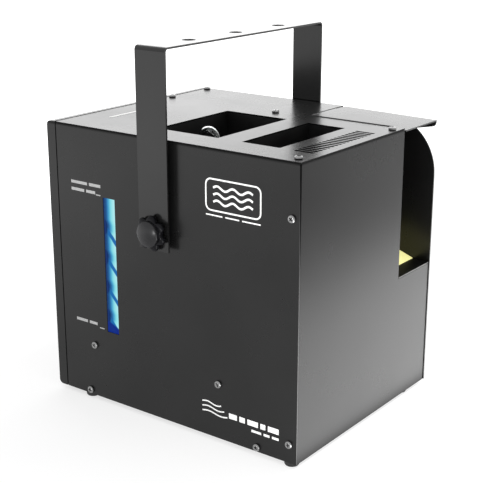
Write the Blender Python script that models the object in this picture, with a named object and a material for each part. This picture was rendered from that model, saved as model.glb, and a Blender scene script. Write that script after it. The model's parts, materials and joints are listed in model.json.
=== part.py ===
"""Haze machine: a sheet-metal case with a hanging yoke, an outlet under a hinged hood, a fluid tank
with a lit level window, and a control panel on the rear.

The case frame has x = 0 on the front panel, y = 0 on the near side and z = 0 under the case, all in
metres.  Fixed pieces are modelled in it; moving pieces are modelled about their own joint axis.
"""

import math

import bmesh
import bpy
from mathutils import Vector

# ---- driving dimensions (metres) ------------------------------------------------------------------
CASE_LENGTH = 0.310
CASE_WIDTH = 0.257
CASE_HEIGHT = 0.3012
SHEET = 0.0015
GAP = 0.0003
PAN_DEPTH = 0.0121
PAN_RISE = 0.0004
PAN_SLOPE = 0.0005
PAN_EDGE = 0.0048
PAN_LOW = -0.0002
FITTING_PROUD = 0.003
FOOT_HEIGHT = 0.0055
FOOT_RADIUS = 0.0075
FOOT_X = (-0.280, -0.0112)
FOOT_Y = (0.009, 0.222)

YOKE_X = -0.1694
YOKE_Z = 0.2074
YOKE_Y = 0.127
YOKE_WIDTH = 0.038
YOKE_SHEET = 0.0020
YOKE_HALF = 0.1355
YOKE_RISE = 0.1841
YOKE_DROP = 0.0184
YOKE_BEND = 0.0045
YOKE_HOLE_PITCH = 0.0765
YOKE_HOLE_RADIUS = 0.007

KNOB_RADIUS = 0.018
KNOB_LOBE = 0.002
KNOB_LOBES = 7
KNOB_PHASE = math.radians(32.0)
KNOB_DISC = 0.0140
KNOB_HEIGHT = 0.0127
STUD_RADIUS = 0.004
STUD_CLEARANCE = 0.00045
STUD_REACH = 0.020

FILL_OPENING = ((-0.202, 0.037), (-0.123, 0.155))
INTAKE_OPENING = ((-0.094, 0.037), (-0.049, 0.152))
FILL_FLOOR = 0.240
INTAKE_FLOOR = 0.252
WELL_SHEET = 0.0012
SLOT_COUNT = 17
SLOT_WIDTH = 0.0043
SLOT_SPAN = ((-0.0325, 0.036), (-0.011, 0.148))

CHANNEL_Y = 0.188
CHANNEL_BACK = -0.1153
CHANNEL_FLOOR = 0.1405
RAMP_START = -0.019
RAMP_ANGLE = math.radians(20.0)
CORNER_RADIUS = 0.061
SIDE_FRONT = 0.0008
SIDE_LIP = 0.300
CORNER_RECESS = (0.195, 0.0012)

HOOD_FRONT = 0.0012
HOOD_REAR = -0.113
HOOD_FAR = 0.2552
HOOD_NEAR = 0.1887
HOOD_DROOP = math.radians(1.0)
HOOD_EAR = 0.0012
HINGE_X = -0.115
HINGE_RADIUS = 0.0016
HINGE_PIN_RADIUS = 0.0008
HINGE_Y = (0.1893, 0.2048, 0.2372, 0.2505)

WINDOW = ((-0.246, 0.080), (-0.2295, 0.229))
WINDOW_DEPTH = 0.0062

TANK = ((-0.288, 0.014, 0.020), (-0.128, 0.150, 0.222))
TANK_WALL = 0.0025
TANK_CORNER = 0.012
NECK = (-0.150, 0.122)
NECK_RADIUS = 0.019
CAP_RADIUS = 0.0235
HOSE_RADIUS = 0.003
ARCH_X = -0.168
ARCH_Y = 0.080
ARCH_RADIUS = 0.011
ARCH_TOP = 0.3005

FAN_CENTRE = (0.220, 0.243)
FAN_SIZE = 0.060
FAN_DEPTH = 0.024
NOZZLE_YZ = (0.220, 0.192)

SCREW_HEAD = 0.004
SCREW_HEIGHT = 0.0026
SCREW_SHANK = 0.0019
SCREW_HOLE = 0.0024
SCREW_LENGTH = 0.006
SIDE_SCREWS = ((-0.265, 0.060), (-0.274, 0.005), (-0.095, 0.060), (-0.047, 0.005),
               (-0.0085, 0.020), (-0.0085, 0.2475))
TOP_SCREWS = ((-0.305, 0.183), (-0.154, 0.178), (-0.010, 0.011), (-0.0065, 0.174), (-0.306, 0.249))

DISPLAY = (0.090, 0.226)
BUTTON_Z = 0.183
BUTTON_Y = (0.060, 0.080, 0.100, 0.120)
BUTTON_NAMES = ("menu", "up", "down", "enter")
BUTTON_RADIUS = 0.005
SWITCH = (0.205, 0.098)
INLET = (0.205, 0.048)
DMX_Z = 0.060
DMX_IN_Y = 0.052
DMX_OUT_Y = 0.096

# ---- places worked out from them ------------------------------------------------------------------
PAN_BACK = -CASE_LENGTH - 0.0014 - PAN_DEPTH
REAR_MOST = PAN_BACK - FITTING_PROUD
CENTRE_X = (HOOD_FRONT + REAR_MOST) / 2.0
ORIGIN = Vector((-CENTRE_X, -YOKE_Y, FOOT_HEIGHT))
TOP_UNDER = CASE_HEIGHT - SHEET
SIDE_TOP = TOP_UNDER - GAP
INNER = SHEET + GAP
HINGE_Z = CASE_HEIGHT - HINGE_RADIUS
HINGE_BELOW = HINGE_Z - HINGE_RADIUS - GAP
PANEL_REAR = -CASE_LENGTH
TOP_STEP = HINGE_X - 0.002
KNOB_SEAT = YOKE_HALF + GAP

SMOOTH_ANGLE = math.radians(35.0)


# ---- scene and materials --------------------------------------------------------------------------
def clear_scene():
    """Start from an empty scene."""
    for thing in list(bpy.data.objects):
        bpy.data.objects.remove(thing, do_unlink=True)


def make_material(name, colour, roughness, metallic=0.0, alpha=1.0):
    """A Principled material with the finish of one kind of piece."""
    material = bpy.data.materials.new(name)
    material.use_nodes = True
    shader = material.node_tree.nodes["Principled BSDF"]
    shader.inputs["Base Color"].default_value = (*colour, 1.0)
    shader.inputs["Roughness"].default_value = roughness
    shader.inputs["Metallic"].default_value = metallic
    shader.inputs["Alpha"].default_value = alpha
    material.diffuse_color = (*colour, alpha)
    return material


FINISHES = {
    "powder_coat": ((0.028, 0.028, 0.030), 0.32, 0.0),
    "inner_sheet": ((0.012, 0.012, 0.013), 0.55, 0.0),
    "galvanised": ((0.45, 0.46, 0.47), 0.45, 0.9),
    "nickel": ((0.66, 0.65, 0.62), 0.25, 1.0),
    "brass": ((0.72, 0.52, 0.22), 0.30, 1.0),
    "aluminium": ((0.60, 0.61, 0.62), 0.40, 1.0),
    "black_plastic": ((0.015, 0.015, 0.016), 0.28, 0.0),
    "rubber": ((0.020, 0.020, 0.020), 0.75, 0.0),
    "yellow_label": ((0.90, 0.72, 0.06), 0.45, 0.0),
    "tank_plastic": ((0.78, 0.80, 0.80), 0.40, 0.0, 0.6),
    "clear_hose": ((0.75, 0.78, 0.78), 0.15, 0.0, 0.4),
    "lit_blue": ((0.10, 0.42, 0.85), 0.20, 0.0, 0.7),
    "board_green": ((0.03, 0.16, 0.08), 0.45, 0.0),
    "button_grey": ((0.10, 0.10, 0.11), 0.50, 0.0),
    "switch_red": ((0.55, 0.03, 0.03), 0.30, 0.0),
}


def finish(name):
    """The material of that name, made on first use."""
    found = bpy.data.materials.get(name)
    return found or make_material(name, *FINISHES[name])


# ---- shape helpers --------------------------------------------------------------------------------
def circle(centre, radius, sides=24):
    """A regular outline about a point."""
    turns = [2.0 * math.pi * k / sides for k in range(sides)]
    return [(centre[0] + radius * math.cos(t), centre[1] + radius * math.sin(t)) for t in turns]


def rectangle(low, high):
    """A plain rectangular outline."""
    return [(low[0], low[1]), (high[0], low[1]), (high[0], high[1]), (low[0], high[1])]


def rounded(low, high, radius, steps=4):
    """A rectangular outline with round corners."""
    corners = ((high[0] - radius, high[1] - radius, 0.0), (low[0] + radius, high[1] - radius, 90.0),
               (low[0] + radius, low[1] + radius, 180.0), (high[0] - radius, low[1] + radius, 270.0))
    outline = []
    for x, y, start in corners:
        for k in range(steps + 1):
            t = math.radians(start + 90.0 * k / steps)
            outline.append((x + radius * math.cos(t), y + radius * math.sin(t)))
    return outline


def lift(point, axis, height):
    """A point of an outline, put at a height along the axis that the outline faces."""
    a, b = point
    return {"X": (height, a, b), "Y": (a, height, b), "Z": (a, b, height)}[axis]


def add_prism(mesh, outline, axis, low, high):
    """Add one closed prism to a bmesh."""
    bottom = [mesh.verts.new(lift(p, axis, low)) for p in outline]
    top = [mesh.verts.new(lift(p, axis, high)) for p in outline]
    mesh.faces.new(bottom)
    mesh.faces.new(list(reversed(top)))
    for k in range(len(outline)):
        n = (k + 1) % len(outline)
        mesh.faces.new((bottom[k], top[k], top[n], bottom[n]))


def finish_object(name, mesh, material, place=(0.0, 0.0, 0.0), smooth=False):
    """Turn a bmesh into an object, placed by its own origin in the case frame."""
    bmesh.ops.recalc_face_normals(mesh, faces=mesh.faces)
    data = bpy.data.meshes.new(name)
    mesh.to_mesh(data)
    mesh.free()
    if smooth:
        data.shade_smooth()
        data.set_sharp_from_angle(angle=SMOOTH_ANGLE)
    thing = bpy.data.objects.new(name, data)
    thing.location = ORIGIN + Vector(place)
    if material:
        data.materials.append(finish(material))
    bpy.context.collection.objects.link(thing)
    return thing


def prisms(name, outlines, axis, low, high, material, place=(0.0, 0.0, 0.0), smooth=False):
    """One object of one or more prisms with the same ends."""
    mesh = bmesh.new()
    for outline in outlines:
        add_prism(mesh, outline, axis, low, high)
    return finish_object(name, mesh, material, place, smooth)


def block(name, low, high, material, place=(0.0, 0.0, 0.0)):
    """A rectangular block between two corners."""
    return prisms(name, [rectangle(low[:2], high[:2])], "Z", low[2], high[2], material, place)


def turned(name, profile, axis, material, place=(0.0, 0.0, 0.0), sides=24, closed=False):
    """A turned piece.  The profile lists (radius, height); an open one starts and ends on the axis."""
    mesh = bmesh.new()
    rings = []
    for radius, height in profile:
        if radius < 1e-7:
            rings.append([mesh.verts.new(lift((0.0, 0.0), axis, height))])
        else:
            rings.append([mesh.verts.new(lift(p, axis, height)) for p in circle((0, 0), radius, sides)])
    pairs = list(zip(rings, rings[1:]))
    if closed:
        pairs.append((rings[-1], rings[0]))
    for lower, upper in pairs:
        for k in range(sides):
            n = (k + 1) % sides
            corners = [lower[k % len(lower)], lower[n % len(lower)], upper[n % len(upper)],
                       upper[k % len(upper)]]
            mesh.faces.new(list(dict.fromkeys(corners)))
    return finish_object(name, mesh, material, place, smooth=True)


def combine(target, tool, operation):
    """Cut a tool from a piece, or weld it on, and keep the tool as a wire guide."""
    tool.hide_render = True
    tool.display_type = "WIRE"
    tool.location = target.location
    tool.rotation_euler = target.rotation_euler
    modifier = target.modifiers.new(tool.name, "BOOLEAN")
    modifier.operation = operation
    modifier.solver = "EXACT"
    modifier.object = tool
    return target


def cut(target, outlines, axis, low, high):
    """Cut prisms with the same ends out of a piece."""
    tool = prisms("cut_" + target.name + str(len(target.modifiers)), outlines, axis, low, high, None)
    return combine(target, tool, "DIFFERENCE")


def weld(target, outlines, axis, low, high):
    """Weld prisms with the same ends onto a piece."""
    tool = prisms("weld_" + target.name + str(len(target.modifiers)), outlines, axis, low, high, None)
    return combine(target, tool, "UNION")


def smooth_route(points, spacing):
    """Points at about even spacing on a smooth curve through a few route points."""
    stops = [Vector(p) for p in points]
    ends = [2 * stops[0] - stops[1]] + stops + [2 * stops[-1] - stops[-2]]
    route = []
    for a, b, c, d in zip(ends, ends[1:], ends[2:], ends[3:]):
        steps = max(2, round((c - b).length / spacing))
        for k in range(steps):
            t = k / steps
            route.append(0.5 * (2 * b + (c - a) * t + (2 * a - 5 * b + 4 * c - d) * t ** 2
                                + (3 * b - a - 3 * c + d) * t ** 3))
    return route + [stops[-1]]


def hose(name, points, radius, material, spacing=0.009):
    """A round hose along a smooth route, with closed ends."""
    data = bpy.data.curves.new(name, "CURVE")
    data.dimensions = "3D"
    data.bevel_depth = radius
    data.bevel_resolution = 2
    data.use_fill_caps = True
    route = smooth_route(points, spacing)
    spline = data.splines.new("POLY")
    spline.points.add(len(route) - 1)
    for slot, point in zip(spline.points, route):
        slot.co = (*point, 1.0)
    data.materials.append(finish(material))
    thing = bpy.data.objects.new(name, data)
    thing.location = ORIGIN
    bpy.context.collection.objects.link(thing)
    return thing


# ---- case -----------------------------------------------------------------------------------------
def make_base_pan():
    """Bottom tray with upturned sides that the side screws pass through."""
    near, far, flange = INNER, CASE_WIDTH - INNER, 0.015
    outline = [(near, 0.0), (far, 0.0), (far, flange), (far - SHEET, flange), (far - SHEET, SHEET),
               (near + SHEET, SHEET), (near + SHEET, flange), (near, flange)]
    front, tongue_rear = -0.0172, -0.0190
    pan = prisms("base_pan", [outline], "X", PANEL_REAR - 0.0010, front, "powder_coat")
    inset = near + SHEET + GAP
    tongue = rectangle((tongue_rear, inset), (-INNER, CASE_WIDTH - inset))
    weld(pan, [tongue], "Z", 0.0, SHEET)
    holes = [circle(s, SCREW_HOLE, 12) for s in SIDE_SCREWS if s[1] < flange]
    return cut(pan, holes, "Y", 0.0, 0.006)


def make_side_panel_near():
    """Side with the level window, the pivot hole and its weld nut; its front edge leans back a little."""
    start, depth = CORNER_RECESS
    outline = [(PANEL_REAR, 0.0), (0.0, 0.0), (0.0, start), (-depth, SIDE_TOP), (PANEL_REAR, SIDE_TOP)]
    panel = prisms("side_panel_near", [outline], "Y", 0.0, SHEET, "powder_coat")
    pivot = (YOKE_X, YOKE_Z)
    weld(panel, [circle(pivot, 0.0075, 6)], "Y", SHEET / 2, 0.0080)
    holes = [circle(s, SCREW_HOLE, 12) for s in SIDE_SCREWS]
    holes += [rectangle(*WINDOW), circle(pivot, STUD_RADIUS + STUD_CLEARANCE)]
    return cut(panel, holes, "Y", -0.002, 0.012)


def far_outline():
    """Far side: a little proud of the front, with a large round corner above the outlet."""
    centre_x, centre_z = SIDE_FRONT - CORNER_RADIUS, SIDE_LIP - CORNER_RADIUS
    outline = [(PANEL_REAR, 0.0), (SIDE_FRONT, 0.0)]
    for k in range(15):
        t = math.radians(90.0 * k / 14)
        outline.append((centre_x + CORNER_RADIUS * math.cos(t), centre_z + CORNER_RADIUS * math.sin(t)))
    lip_end = TOP_STEP + GAP
    return outline + [(lip_end, SIDE_LIP), (lip_end, SIDE_TOP), (PANEL_REAR, SIDE_TOP)]


def make_side_panel_far():
    """Side beside the outlet, with the second pivot hole and weld nut."""
    low, high = CASE_WIDTH - SHEET, CASE_WIDTH
    panel = prisms("side_panel_far", [far_outline()], "Y", low, high, "powder_coat")
    pivot = (YOKE_X, YOKE_Z)
    weld(panel, [circle(pivot, 0.0075, 6)], "Y", CASE_WIDTH - 0.0080, CASE_WIDTH - SHEET / 2)
    hole = circle(pivot, STUD_RADIUS + STUD_CLEARANCE)
    return cut(panel, [hole], "Y", CASE_WIDTH - 0.012, CASE_WIDTH + 0.002)


def make_front_panel():
    """Front with folded side flanges, and a notch for the outlet at its upper far corner."""
    near, far, flange = INNER, CASE_WIDTH - INNER, -0.0165
    outline = [(0.0, near), (0.0, far), (flange, far), (flange, far - SHEET), (-SHEET, far - SHEET),
               (-SHEET, near + SHEET), (flange, near + SHEET), (flange, near)]
    panel = prisms("front_panel", [outline], "Z", 0.0, SIDE_TOP, "powder_coat")
    notch_floor = CHANNEL_FLOOR - SHEET - GAP
    cut(panel, [rectangle((CHANNEL_Y, notch_floor), (0.260, 0.310))], "X", -0.020, 0.010)
    holes = [circle(s, SCREW_HOLE, 12) for s in SIDE_SCREWS if s[0] > flange]
    return cut(panel, holes, "Y", 0.0, 0.006)


def pan_outline(inset):
    """The rear pan seen along the case: its top falls a little, and its rear edges are rounded."""
    front, rear = PAN_BACK + PAN_DEPTH, PAN_BACK + inset
    low, high = PAN_LOW + inset, CASE_HEIGHT + PAN_RISE - inset
    radius = PAN_EDGE - inset
    outline = [(front, low), (front, high)]
    for z, start, turn in ((high - PAN_SLOPE - radius, 90.0, 22.5), (low + radius, 180.0, 22.5)):
        for k in range(5):
            t = math.radians(start + turn * k)
            outline.append((rear + radius + radius * math.cos(t), z + radius * math.sin(t)))
    return outline


def make_rear_panel():
    """Rear pan, cut for the controls, the sockets and the fan's air."""
    pan = prisms("rear_panel", [pan_outline(0.0)], "Y", 0.0, CASE_WIDTH, "powder_coat", smooth=True)
    hollow = pan_outline(SHEET)
    hollow[:2] = [(x + SHEET, z) for x, z in hollow[:2]]
    cut(pan, [hollow], "Y", SHEET, CASE_WIDTH - SHEET)
    openings = [rectangle((DISPLAY[0] - 0.034, DISPLAY[1] - 0.019),
                          (DISPLAY[0] + 0.034, DISPLAY[1] + 0.019))]
    openings += [circle((y, BUTTON_Z), BUTTON_RADIUS + GAP) for y in BUTTON_Y]
    openings.append(rectangle((SWITCH[0] - 0.0103, SWITCH[1] - 0.0143),
                              (SWITCH[0] + 0.0103, SWITCH[1] + 0.0143)))
    openings.append(rectangle((INLET[0] - 0.0143, INLET[1] - 0.0103),
                              (INLET[0] + 0.0143, INLET[1] + 0.0103)))
    openings += [circle((y, DMX_Z), 0.0118) for y in (DMX_IN_Y, DMX_OUT_Y)]
    openings += [rectangle((0.166, 0.196 + 0.009 * k), (0.236, 0.199 + 0.009 * k)) for k in range(9)]
    return cut(pan, openings, "X", PAN_BACK - 0.002, PAN_BACK + 0.004)


def make_top_panel():
    """Top sheet, stepped back beside the outlet, with both wells' openings and the vent slots."""
    rear = PANEL_REAR - 0.0010
    outline = [(rear, 0.0), (0.0, 0.0), (0.0, CHANNEL_Y + GAP), (TOP_STEP, CHANNEL_Y + GAP),
               (TOP_STEP, CASE_WIDTH), (rear, CASE_WIDTH)]
    panel = prisms("top_panel", [outline], "Z", TOP_UNDER, CASE_HEIGHT, "powder_coat")
    (x0, y0), (x1, y1) = SLOT_SPAN
    pitch = (y1 - y0 - SLOT_WIDTH) / (SLOT_COUNT - 1)
    holes = [rectangle((x0, y0 + pitch * k), (x1, y0 + pitch * k + SLOT_WIDTH)) for k in range(SLOT_COUNT)]
    holes += [rectangle(*FILL_OPENING), rectangle(*INTAKE_OPENING)]
    holes += [circle(s, SCREW_HOLE, 12) for s in TOP_SCREWS]
    return cut(panel, holes, "Z", TOP_UNDER - 0.002, CASE_HEIGHT + 0.002)


def make_well(name, opening, floor):
    """A tub folded from thin sheet, hung under one of the top panel's openings."""
    (x0, y0), (x1, y1) = opening
    outer = rectangle((x0 - WELL_SHEET, y0 - WELL_SHEET), (x1 + WELL_SHEET, y1 + WELL_SHEET))
    well = prisms(name, [outer], "Z", floor, SIDE_TOP, "inner_sheet")
    return cut(well, [rectangle(*opening)], "Z", floor + WELL_SHEET, CASE_HEIGHT)


def make_filling_well():
    """The well over the tank, with holes for the neck and for both legs of the hose."""
    well = make_well("filling_well", FILL_OPENING, FILL_FLOOR)
    holes = [circle(NECK, NECK_RADIUS + 0.001)]
    holes += [circle((ARCH_X + side * ARCH_RADIUS, ARCH_Y), HOSE_RADIUS + 0.0007, 16) for side in (-1, 1)]
    return cut(well, holes, "Z", FILL_FLOOR - 0.002, FILL_FLOOR + 0.004)


def make_outlet_channel():
    """Partition and back wall of the outlet, folded from one sheet."""
    back, far = CHANNEL_BACK, CASE_WIDTH - INNER
    outline = [(back - SHEET, CHANNEL_Y - SHEET), (-INNER, CHANNEL_Y - SHEET), (-INNER, CHANNEL_Y),
               (back, CHANNEL_Y), (back, far), (back - SHEET, far)]
    channel = prisms("outlet_channel", [outline], "Z", CHANNEL_FLOOR - SHEET, SIDE_TOP, "inner_sheet")
    under_hinge = rectangle((back - 0.003, CHANNEL_Y), (back + 0.001, far + 0.001))
    cut(channel, [under_hinge], "Z", HINGE_BELOW, CASE_HEIGHT)
    holes = [circle(FAN_CENTRE, FAN_SIZE / 2 - 0.002, 32), circle(NOZZLE_YZ, 0.0072, 16)]
    return cut(channel, holes, "X", back - 0.006, back + 0.004)


def make_channel_floor():
    """Outlet floor: a flat lip at the front, then a ramp up to the back wall."""
    back = CHANNEL_BACK + GAP
    rise = (RAMP_START - back) * math.tan(RAMP_ANGLE)
    top = [(0.0, CHANNEL_FLOOR), (RAMP_START, CHANNEL_FLOOR), (back, CHANNEL_FLOOR + rise)]
    outline = top + [(x, z - SHEET) for x, z in reversed(top)]
    near, far = CHANNEL_Y + GAP, CASE_WIDTH - INNER
    return prisms("channel_floor", [outline], "Y", near, far, "inner_sheet")


def make_caution_label():
    """Blank yellow label stuck on the ramp."""
    length, thick, lift_off = 0.052, 0.0004, 0.0002
    start = RAMP_START - 0.0006
    slope = math.tan(RAMP_ANGLE)
    ends = [(x, CHANNEL_FLOOR + (RAMP_START - x) * slope + lift_off) for x in (start, start - length)]
    outline = ends + [(x, z + thick) for x, z in reversed(ends)]
    return prisms("caution_label", [outline], "Y", CHANNEL_Y + 0.0012, CASE_WIDTH - 0.0026, "yellow_label")


# ---- hood -----------------------------------------------------------------------------------------
def make_hood():
    """Flap over the outlet, inside the far side, with a tapered ear and the middle hinge knuckle."""
    x0, x1 = HOOD_REAR - HINGE_X, HOOD_FRONT - HINGE_X
    y0, y1, y2, y3 = HOOD_NEAR, HINGE_Y[1] + GAP, HINGE_Y[2] - GAP, HOOD_FAR
    tongue = 0.0008
    plate = [(x0, y0), (x1, y0), (x1, y3), (x0, y3), (x0, y2), (tongue, y2), (tongue, y1), (x0, y1)]
    low, high = HINGE_RADIUS - SHEET, HINGE_RADIUS
    hood = prisms("hood", [plate], "Z", low, high, "powder_coat", (HINGE_X, 0.0, HINGE_Z))
    hood.rotation_euler.y = HOOD_DROOP
    overlap = low + SHEET / 2
    ear = [(0.014, overlap), (0.014, -0.024), (0.0175, -0.0268), (x1 - 0.0040, -0.0058),
           (x1 - 0.0016, -0.0048), (x1 - 0.0004, -0.0030), (x1, -0.0008), (x1, overlap)]
    weld(hood, [ear], "Y", HOOD_FAR - HOOD_EAR, HOOD_FAR)
    weld(hood, [circle((0.0, 0.0), HINGE_RADIUS, 16)], "Y", y1, y2)
    return cut(hood, [circle((0.0, 0.0), HINGE_PIN_RADIUS + 0.0002, 16)], "Y", y1 - 0.002, y2 + 0.002)


def make_hood_hinge_leaf():
    """Fixed half of the hood's hinge: a leaf on the back wall with a knuckle at each end."""
    front, thick = CHANNEL_BACK + GAP, 0.0010
    ends = ((HINGE_Y[0], HINGE_Y[1]), (HINGE_Y[2], HINGE_Y[3]))
    low, high = HINGE_Z - 0.016, HINGE_BELOW
    leaf = block("hood_hinge_leaf", (front, HINGE_Y[0], low), (front + thick, HINGE_Y[3], high), "nickel")
    for near, far in ends:
        neck = rectangle((front, high - 0.001), (front + thick, HINGE_Z - 0.0005))
        weld(leaf, [neck], "Y", near, far)
        weld(leaf, [circle((HINGE_X, HINGE_Z), HINGE_RADIUS, 16)], "Y", near, far)
    bore = circle((HINGE_X, HINGE_Z), HINGE_PIN_RADIUS + 0.0002, 16)
    return cut(leaf, [bore], "Y", HINGE_Y[0] - 0.002, HINGE_Y[3] + 0.002)


def make_hood_hinge_pin():
    """Pin through the hinge's knuckles."""
    half = (HINGE_Y[3] - HINGE_Y[0]) / 2
    middle = (HINGE_Y[3] + HINGE_Y[0]) / 2
    pin = [circle((0.0, 0.0), HINGE_PIN_RADIUS, 12)]
    return prisms("hood_hinge_pin", pin, "Y", -half, half, "nickel", (HINGE_X, middle, HINGE_Z), True)


# ---- yoke and knobs -------------------------------------------------------------------------------
def yoke_outline():
    """The bent strap seen along the case: down one side, over the top and down the other."""
    def path(half, top, radius):
        points = [(-half, -YOKE_DROP)]
        for side, start in ((-1, 180.0), (1, 90.0)):
            for k in range(5):
                t = math.radians(start - 90.0 * k / 4)
                points.append((side * (half - radius) + radius * math.cos(t),
                               top - radius + radius * math.sin(t)))
        return points + [(half, -YOKE_DROP)]

    outer = path(YOKE_HALF, YOKE_RISE, YOKE_BEND)
    inner = path(YOKE_HALF - YOKE_SHEET, YOKE_RISE - YOKE_SHEET, YOKE_BEND - YOKE_SHEET)
    return outer + list(reversed(inner))


def make_yoke():
    """Hanging yoke with three holes in its bar and a pivot hole in each leg."""
    half = YOKE_WIDTH / 2
    place = (YOKE_X, YOKE_Y, YOKE_Z)
    yoke = prisms("yoke", [yoke_outline()], "X", -half, half, "powder_coat", place)
    holes = [circle((0.0, YOKE_HOLE_PITCH * k), YOKE_HOLE_RADIUS) for k in (-1, 0, 1)]
    cut(yoke, holes, "Z", YOKE_RISE - 0.005, YOKE_RISE + 0.002)
    pivot = circle((0.0, 0.0), STUD_RADIUS + STUD_CLEARANCE)
    return cut(yoke, [pivot], "Y", -YOKE_HALF - 0.002, YOKE_HALF + 0.002)


def knob_rings():
    """(height over the leg, radius, depth of the lobes) from the stud's tip to the domed disc."""
    tip, star, disc, top = -STUD_REACH, KNOB_RADIUS, KNOB_DISC, KNOB_HEIGHT
    return [(tip, STUD_RADIUS - 0.0006, 0.0), (tip + 0.0008, STUD_RADIUS, 0.0), (0.0, STUD_RADIUS, 0.0),
            (0.0, 0.0095, 0.0), (0.0018, 0.0095, 0.0), (0.0022, star - 0.0030, KNOB_LOBE / 2),
            (0.0032, star - 0.0008, KNOB_LOBE), (0.0050, star, KNOB_LOBE),
            (0.0075, star - 0.0002, KNOB_LOBE), (0.0086, star - 0.0014, KNOB_LOBE * 0.8),
            (0.0090, disc + 0.0002, 0.0), (top - 0.0019, disc, 0.0), (top - 0.0007, disc - 0.0012, 0.0),
            (top, disc - 0.0060, 0.0)]


def make_knob(name, side):
    """Star knob with its threaded stud, about its own axis on one side of the case."""
    sides = 6 * KNOB_LOBES
    mesh = bmesh.new()
    rings = []
    for height, radius, lobe in knob_rings():
        ring = []
        for k in range(sides):
            t = 2.0 * math.pi * k / sides
            r = radius + lobe * math.cos(KNOB_LOBES * (t - KNOB_PHASE))
            ring.append(mesh.verts.new((r * math.cos(t), side * height, r * math.sin(t))))
        rings.append(ring)
    for lower, upper in zip(rings, rings[1:]):
        for k in range(sides):
            n = (k + 1) % sides
            mesh.faces.new((lower[k], lower[n], upper[n], upper[k]))
    mesh.faces.new(rings[0])
    mesh.faces.new(rings[-1])
    seat = YOKE_Y + side * KNOB_SEAT
    return finish_object(name, mesh, "black_plastic", (YOKE_X, seat, YOKE_Z), smooth=True)


def make_pivot_spacer(name, side):
    """Friction disc between the case and a leg of the yoke."""
    case_face = YOKE_Y if side < 0 else CASE_WIDTH - YOKE_Y
    low, high = case_face + GAP, YOKE_HALF - YOKE_SHEET - GAP
    hole, rim = STUD_RADIUS + STUD_CLEARANCE, 0.0105
    profile = [(hole, side * low), (rim, side * low), (rim, side * high), (hole, side * high)]
    return turned(name, profile, "Y", "rubber", (YOKE_X, YOKE_Y, YOKE_Z), closed=True)


# ---- level window, tank and fluid path ------------------------------------------------------------
def make_level_window():
    """Tinted tub behind the side panel's window."""
    (x0, z0), (x1, z1) = WINDOW
    rim = 0.002
    outline = rectangle((x0 - rim, z0 - rim), (x1 + rim, z1 + rim))
    window = prisms("level_window", [outline], "Y", INNER, WINDOW_DEPTH + 0.002, "lit_blue")
    return cut(window, [rectangle(*WINDOW)], "Y", 0.0, WINDOW_DEPTH)


def make_level_light():
    """Board of lamps behind the level window."""
    (x0, z0), (x1, z1) = WINDOW
    low, high = (x0 - 0.004, 0.0088, z0 - 0.005), (x1 + 0.004, 0.0104, z1 + 0.005)
    return block("level_light", low, high, "board_green")


def make_fluid_tank():
    """Moulded tank with a threaded neck and a small hose spigot on top."""
    low, high = Vector(TANK[0]), Vector(TANK[1])
    outer = rounded(low.xy, high.xy, TANK_CORNER)
    wall = Vector((TANK_WALL, TANK_WALL))
    inner = rounded(low.xy + wall, high.xy - wall, TANK_CORNER - TANK_WALL)
    tank = prisms("fluid_tank", [outer], "Z", low.z, high.z, "tank_plastic", smooth=True)
    weld(tank, [circle(NECK, NECK_RADIUS)], "Z", high.z - TANK_WALL / 2, 0.256)
    cut(tank, [inner], "Z", low.z + TANK_WALL, high.z - TANK_WALL)
    return cut(tank, [circle(NECK, NECK_RADIUS - 0.0025)], "Z", high.z - 0.006, 0.260)


def make_tank_cap():
    """Screw cap with a ribbed skirt, turning on the tank's neck."""
    ribs = 24
    mesh_outline = []
    for k in range(ribs * 2):
        t = math.pi * k / ribs
        r = CAP_RADIUS - (0.0008 if k % 2 else 0.0)
        mesh_outline.append((r * math.cos(t), r * math.sin(t)))
    place = (NECK[0], NECK[1], 0.0)
    cap = prisms("tank_cap", [mesh_outline], "Z", 0.2435, 0.2605, "black_plastic", place)
    return cut(cap, [circle((0.0, 0.0), NECK_RADIUS + 0.0006)], "Z", 0.240, 0.2570)


def make_pickup_hose():
    """Clear hose: out of the tank's top, over in an arch inside the well, and down to the pump."""
    left, right = ARCH_X - ARCH_RADIUS, ARCH_X + ARCH_RADIUS
    arch_z = ARCH_TOP - HOSE_RADIUS - ARCH_RADIUS
    points = [(left, ARCH_Y, TANK[1][2] + GAP), (left, ARCH_Y, 0.240), (left, ARCH_Y, 0.265)]
    for k in range(7):
        t = math.radians(180.0 - 30.0 * k)
        points.append((ARCH_X + ARCH_RADIUS * math.cos(t), ARCH_Y, arch_z + ARCH_RADIUS * math.sin(t)))
    points += [(right, ARCH_Y, 0.265), (right, ARCH_Y, 0.2480), (right, ARCH_Y, 0.2380),
               (-0.1540, ARCH_Y, 0.2310), (-0.1470, ARCH_Y, 0.2282), (-0.1380, ARCH_Y, 0.2272),
               (-0.124, ARCH_Y, 0.2235), (-0.1165, ARCH_Y, 0.210),
               (-0.116, ARCH_Y, 0.150), (-0.116, 0.072, 0.080), (-0.121, 0.056, 0.044),
               (-0.1195, 0.050, 0.030), (-0.1125, 0.050, 0.0275)]
    return hose("pickup_hose", points, HOSE_RADIUS, "clear_hose", 0.007)


def make_pump():
    """Piston pump: coil body between two spigots, on a foot that stands on the base pan."""
    profile = [(0.0, -0.0310), (0.0028, -0.0310), (0.0028, -0.0220), (0.0090, -0.0220),
               (0.0090, -0.0150), (0.0170, -0.0150), (0.0170, 0.0180), (0.0090, 0.0180),
               (0.0090, 0.0240), (0.0028, 0.0240), (0.0028, 0.0310), (0.0, 0.0310)]
    pump = turned("fluid_pump", profile, "X", "galvanised", (-0.080, 0.050, 0.0275), sides=20)
    foot = rectangle((-0.014, -0.0275 + SHEET + GAP), (0.014, -0.008))
    return weld(pump, [foot], "X", -0.012, 0.015)


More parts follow.
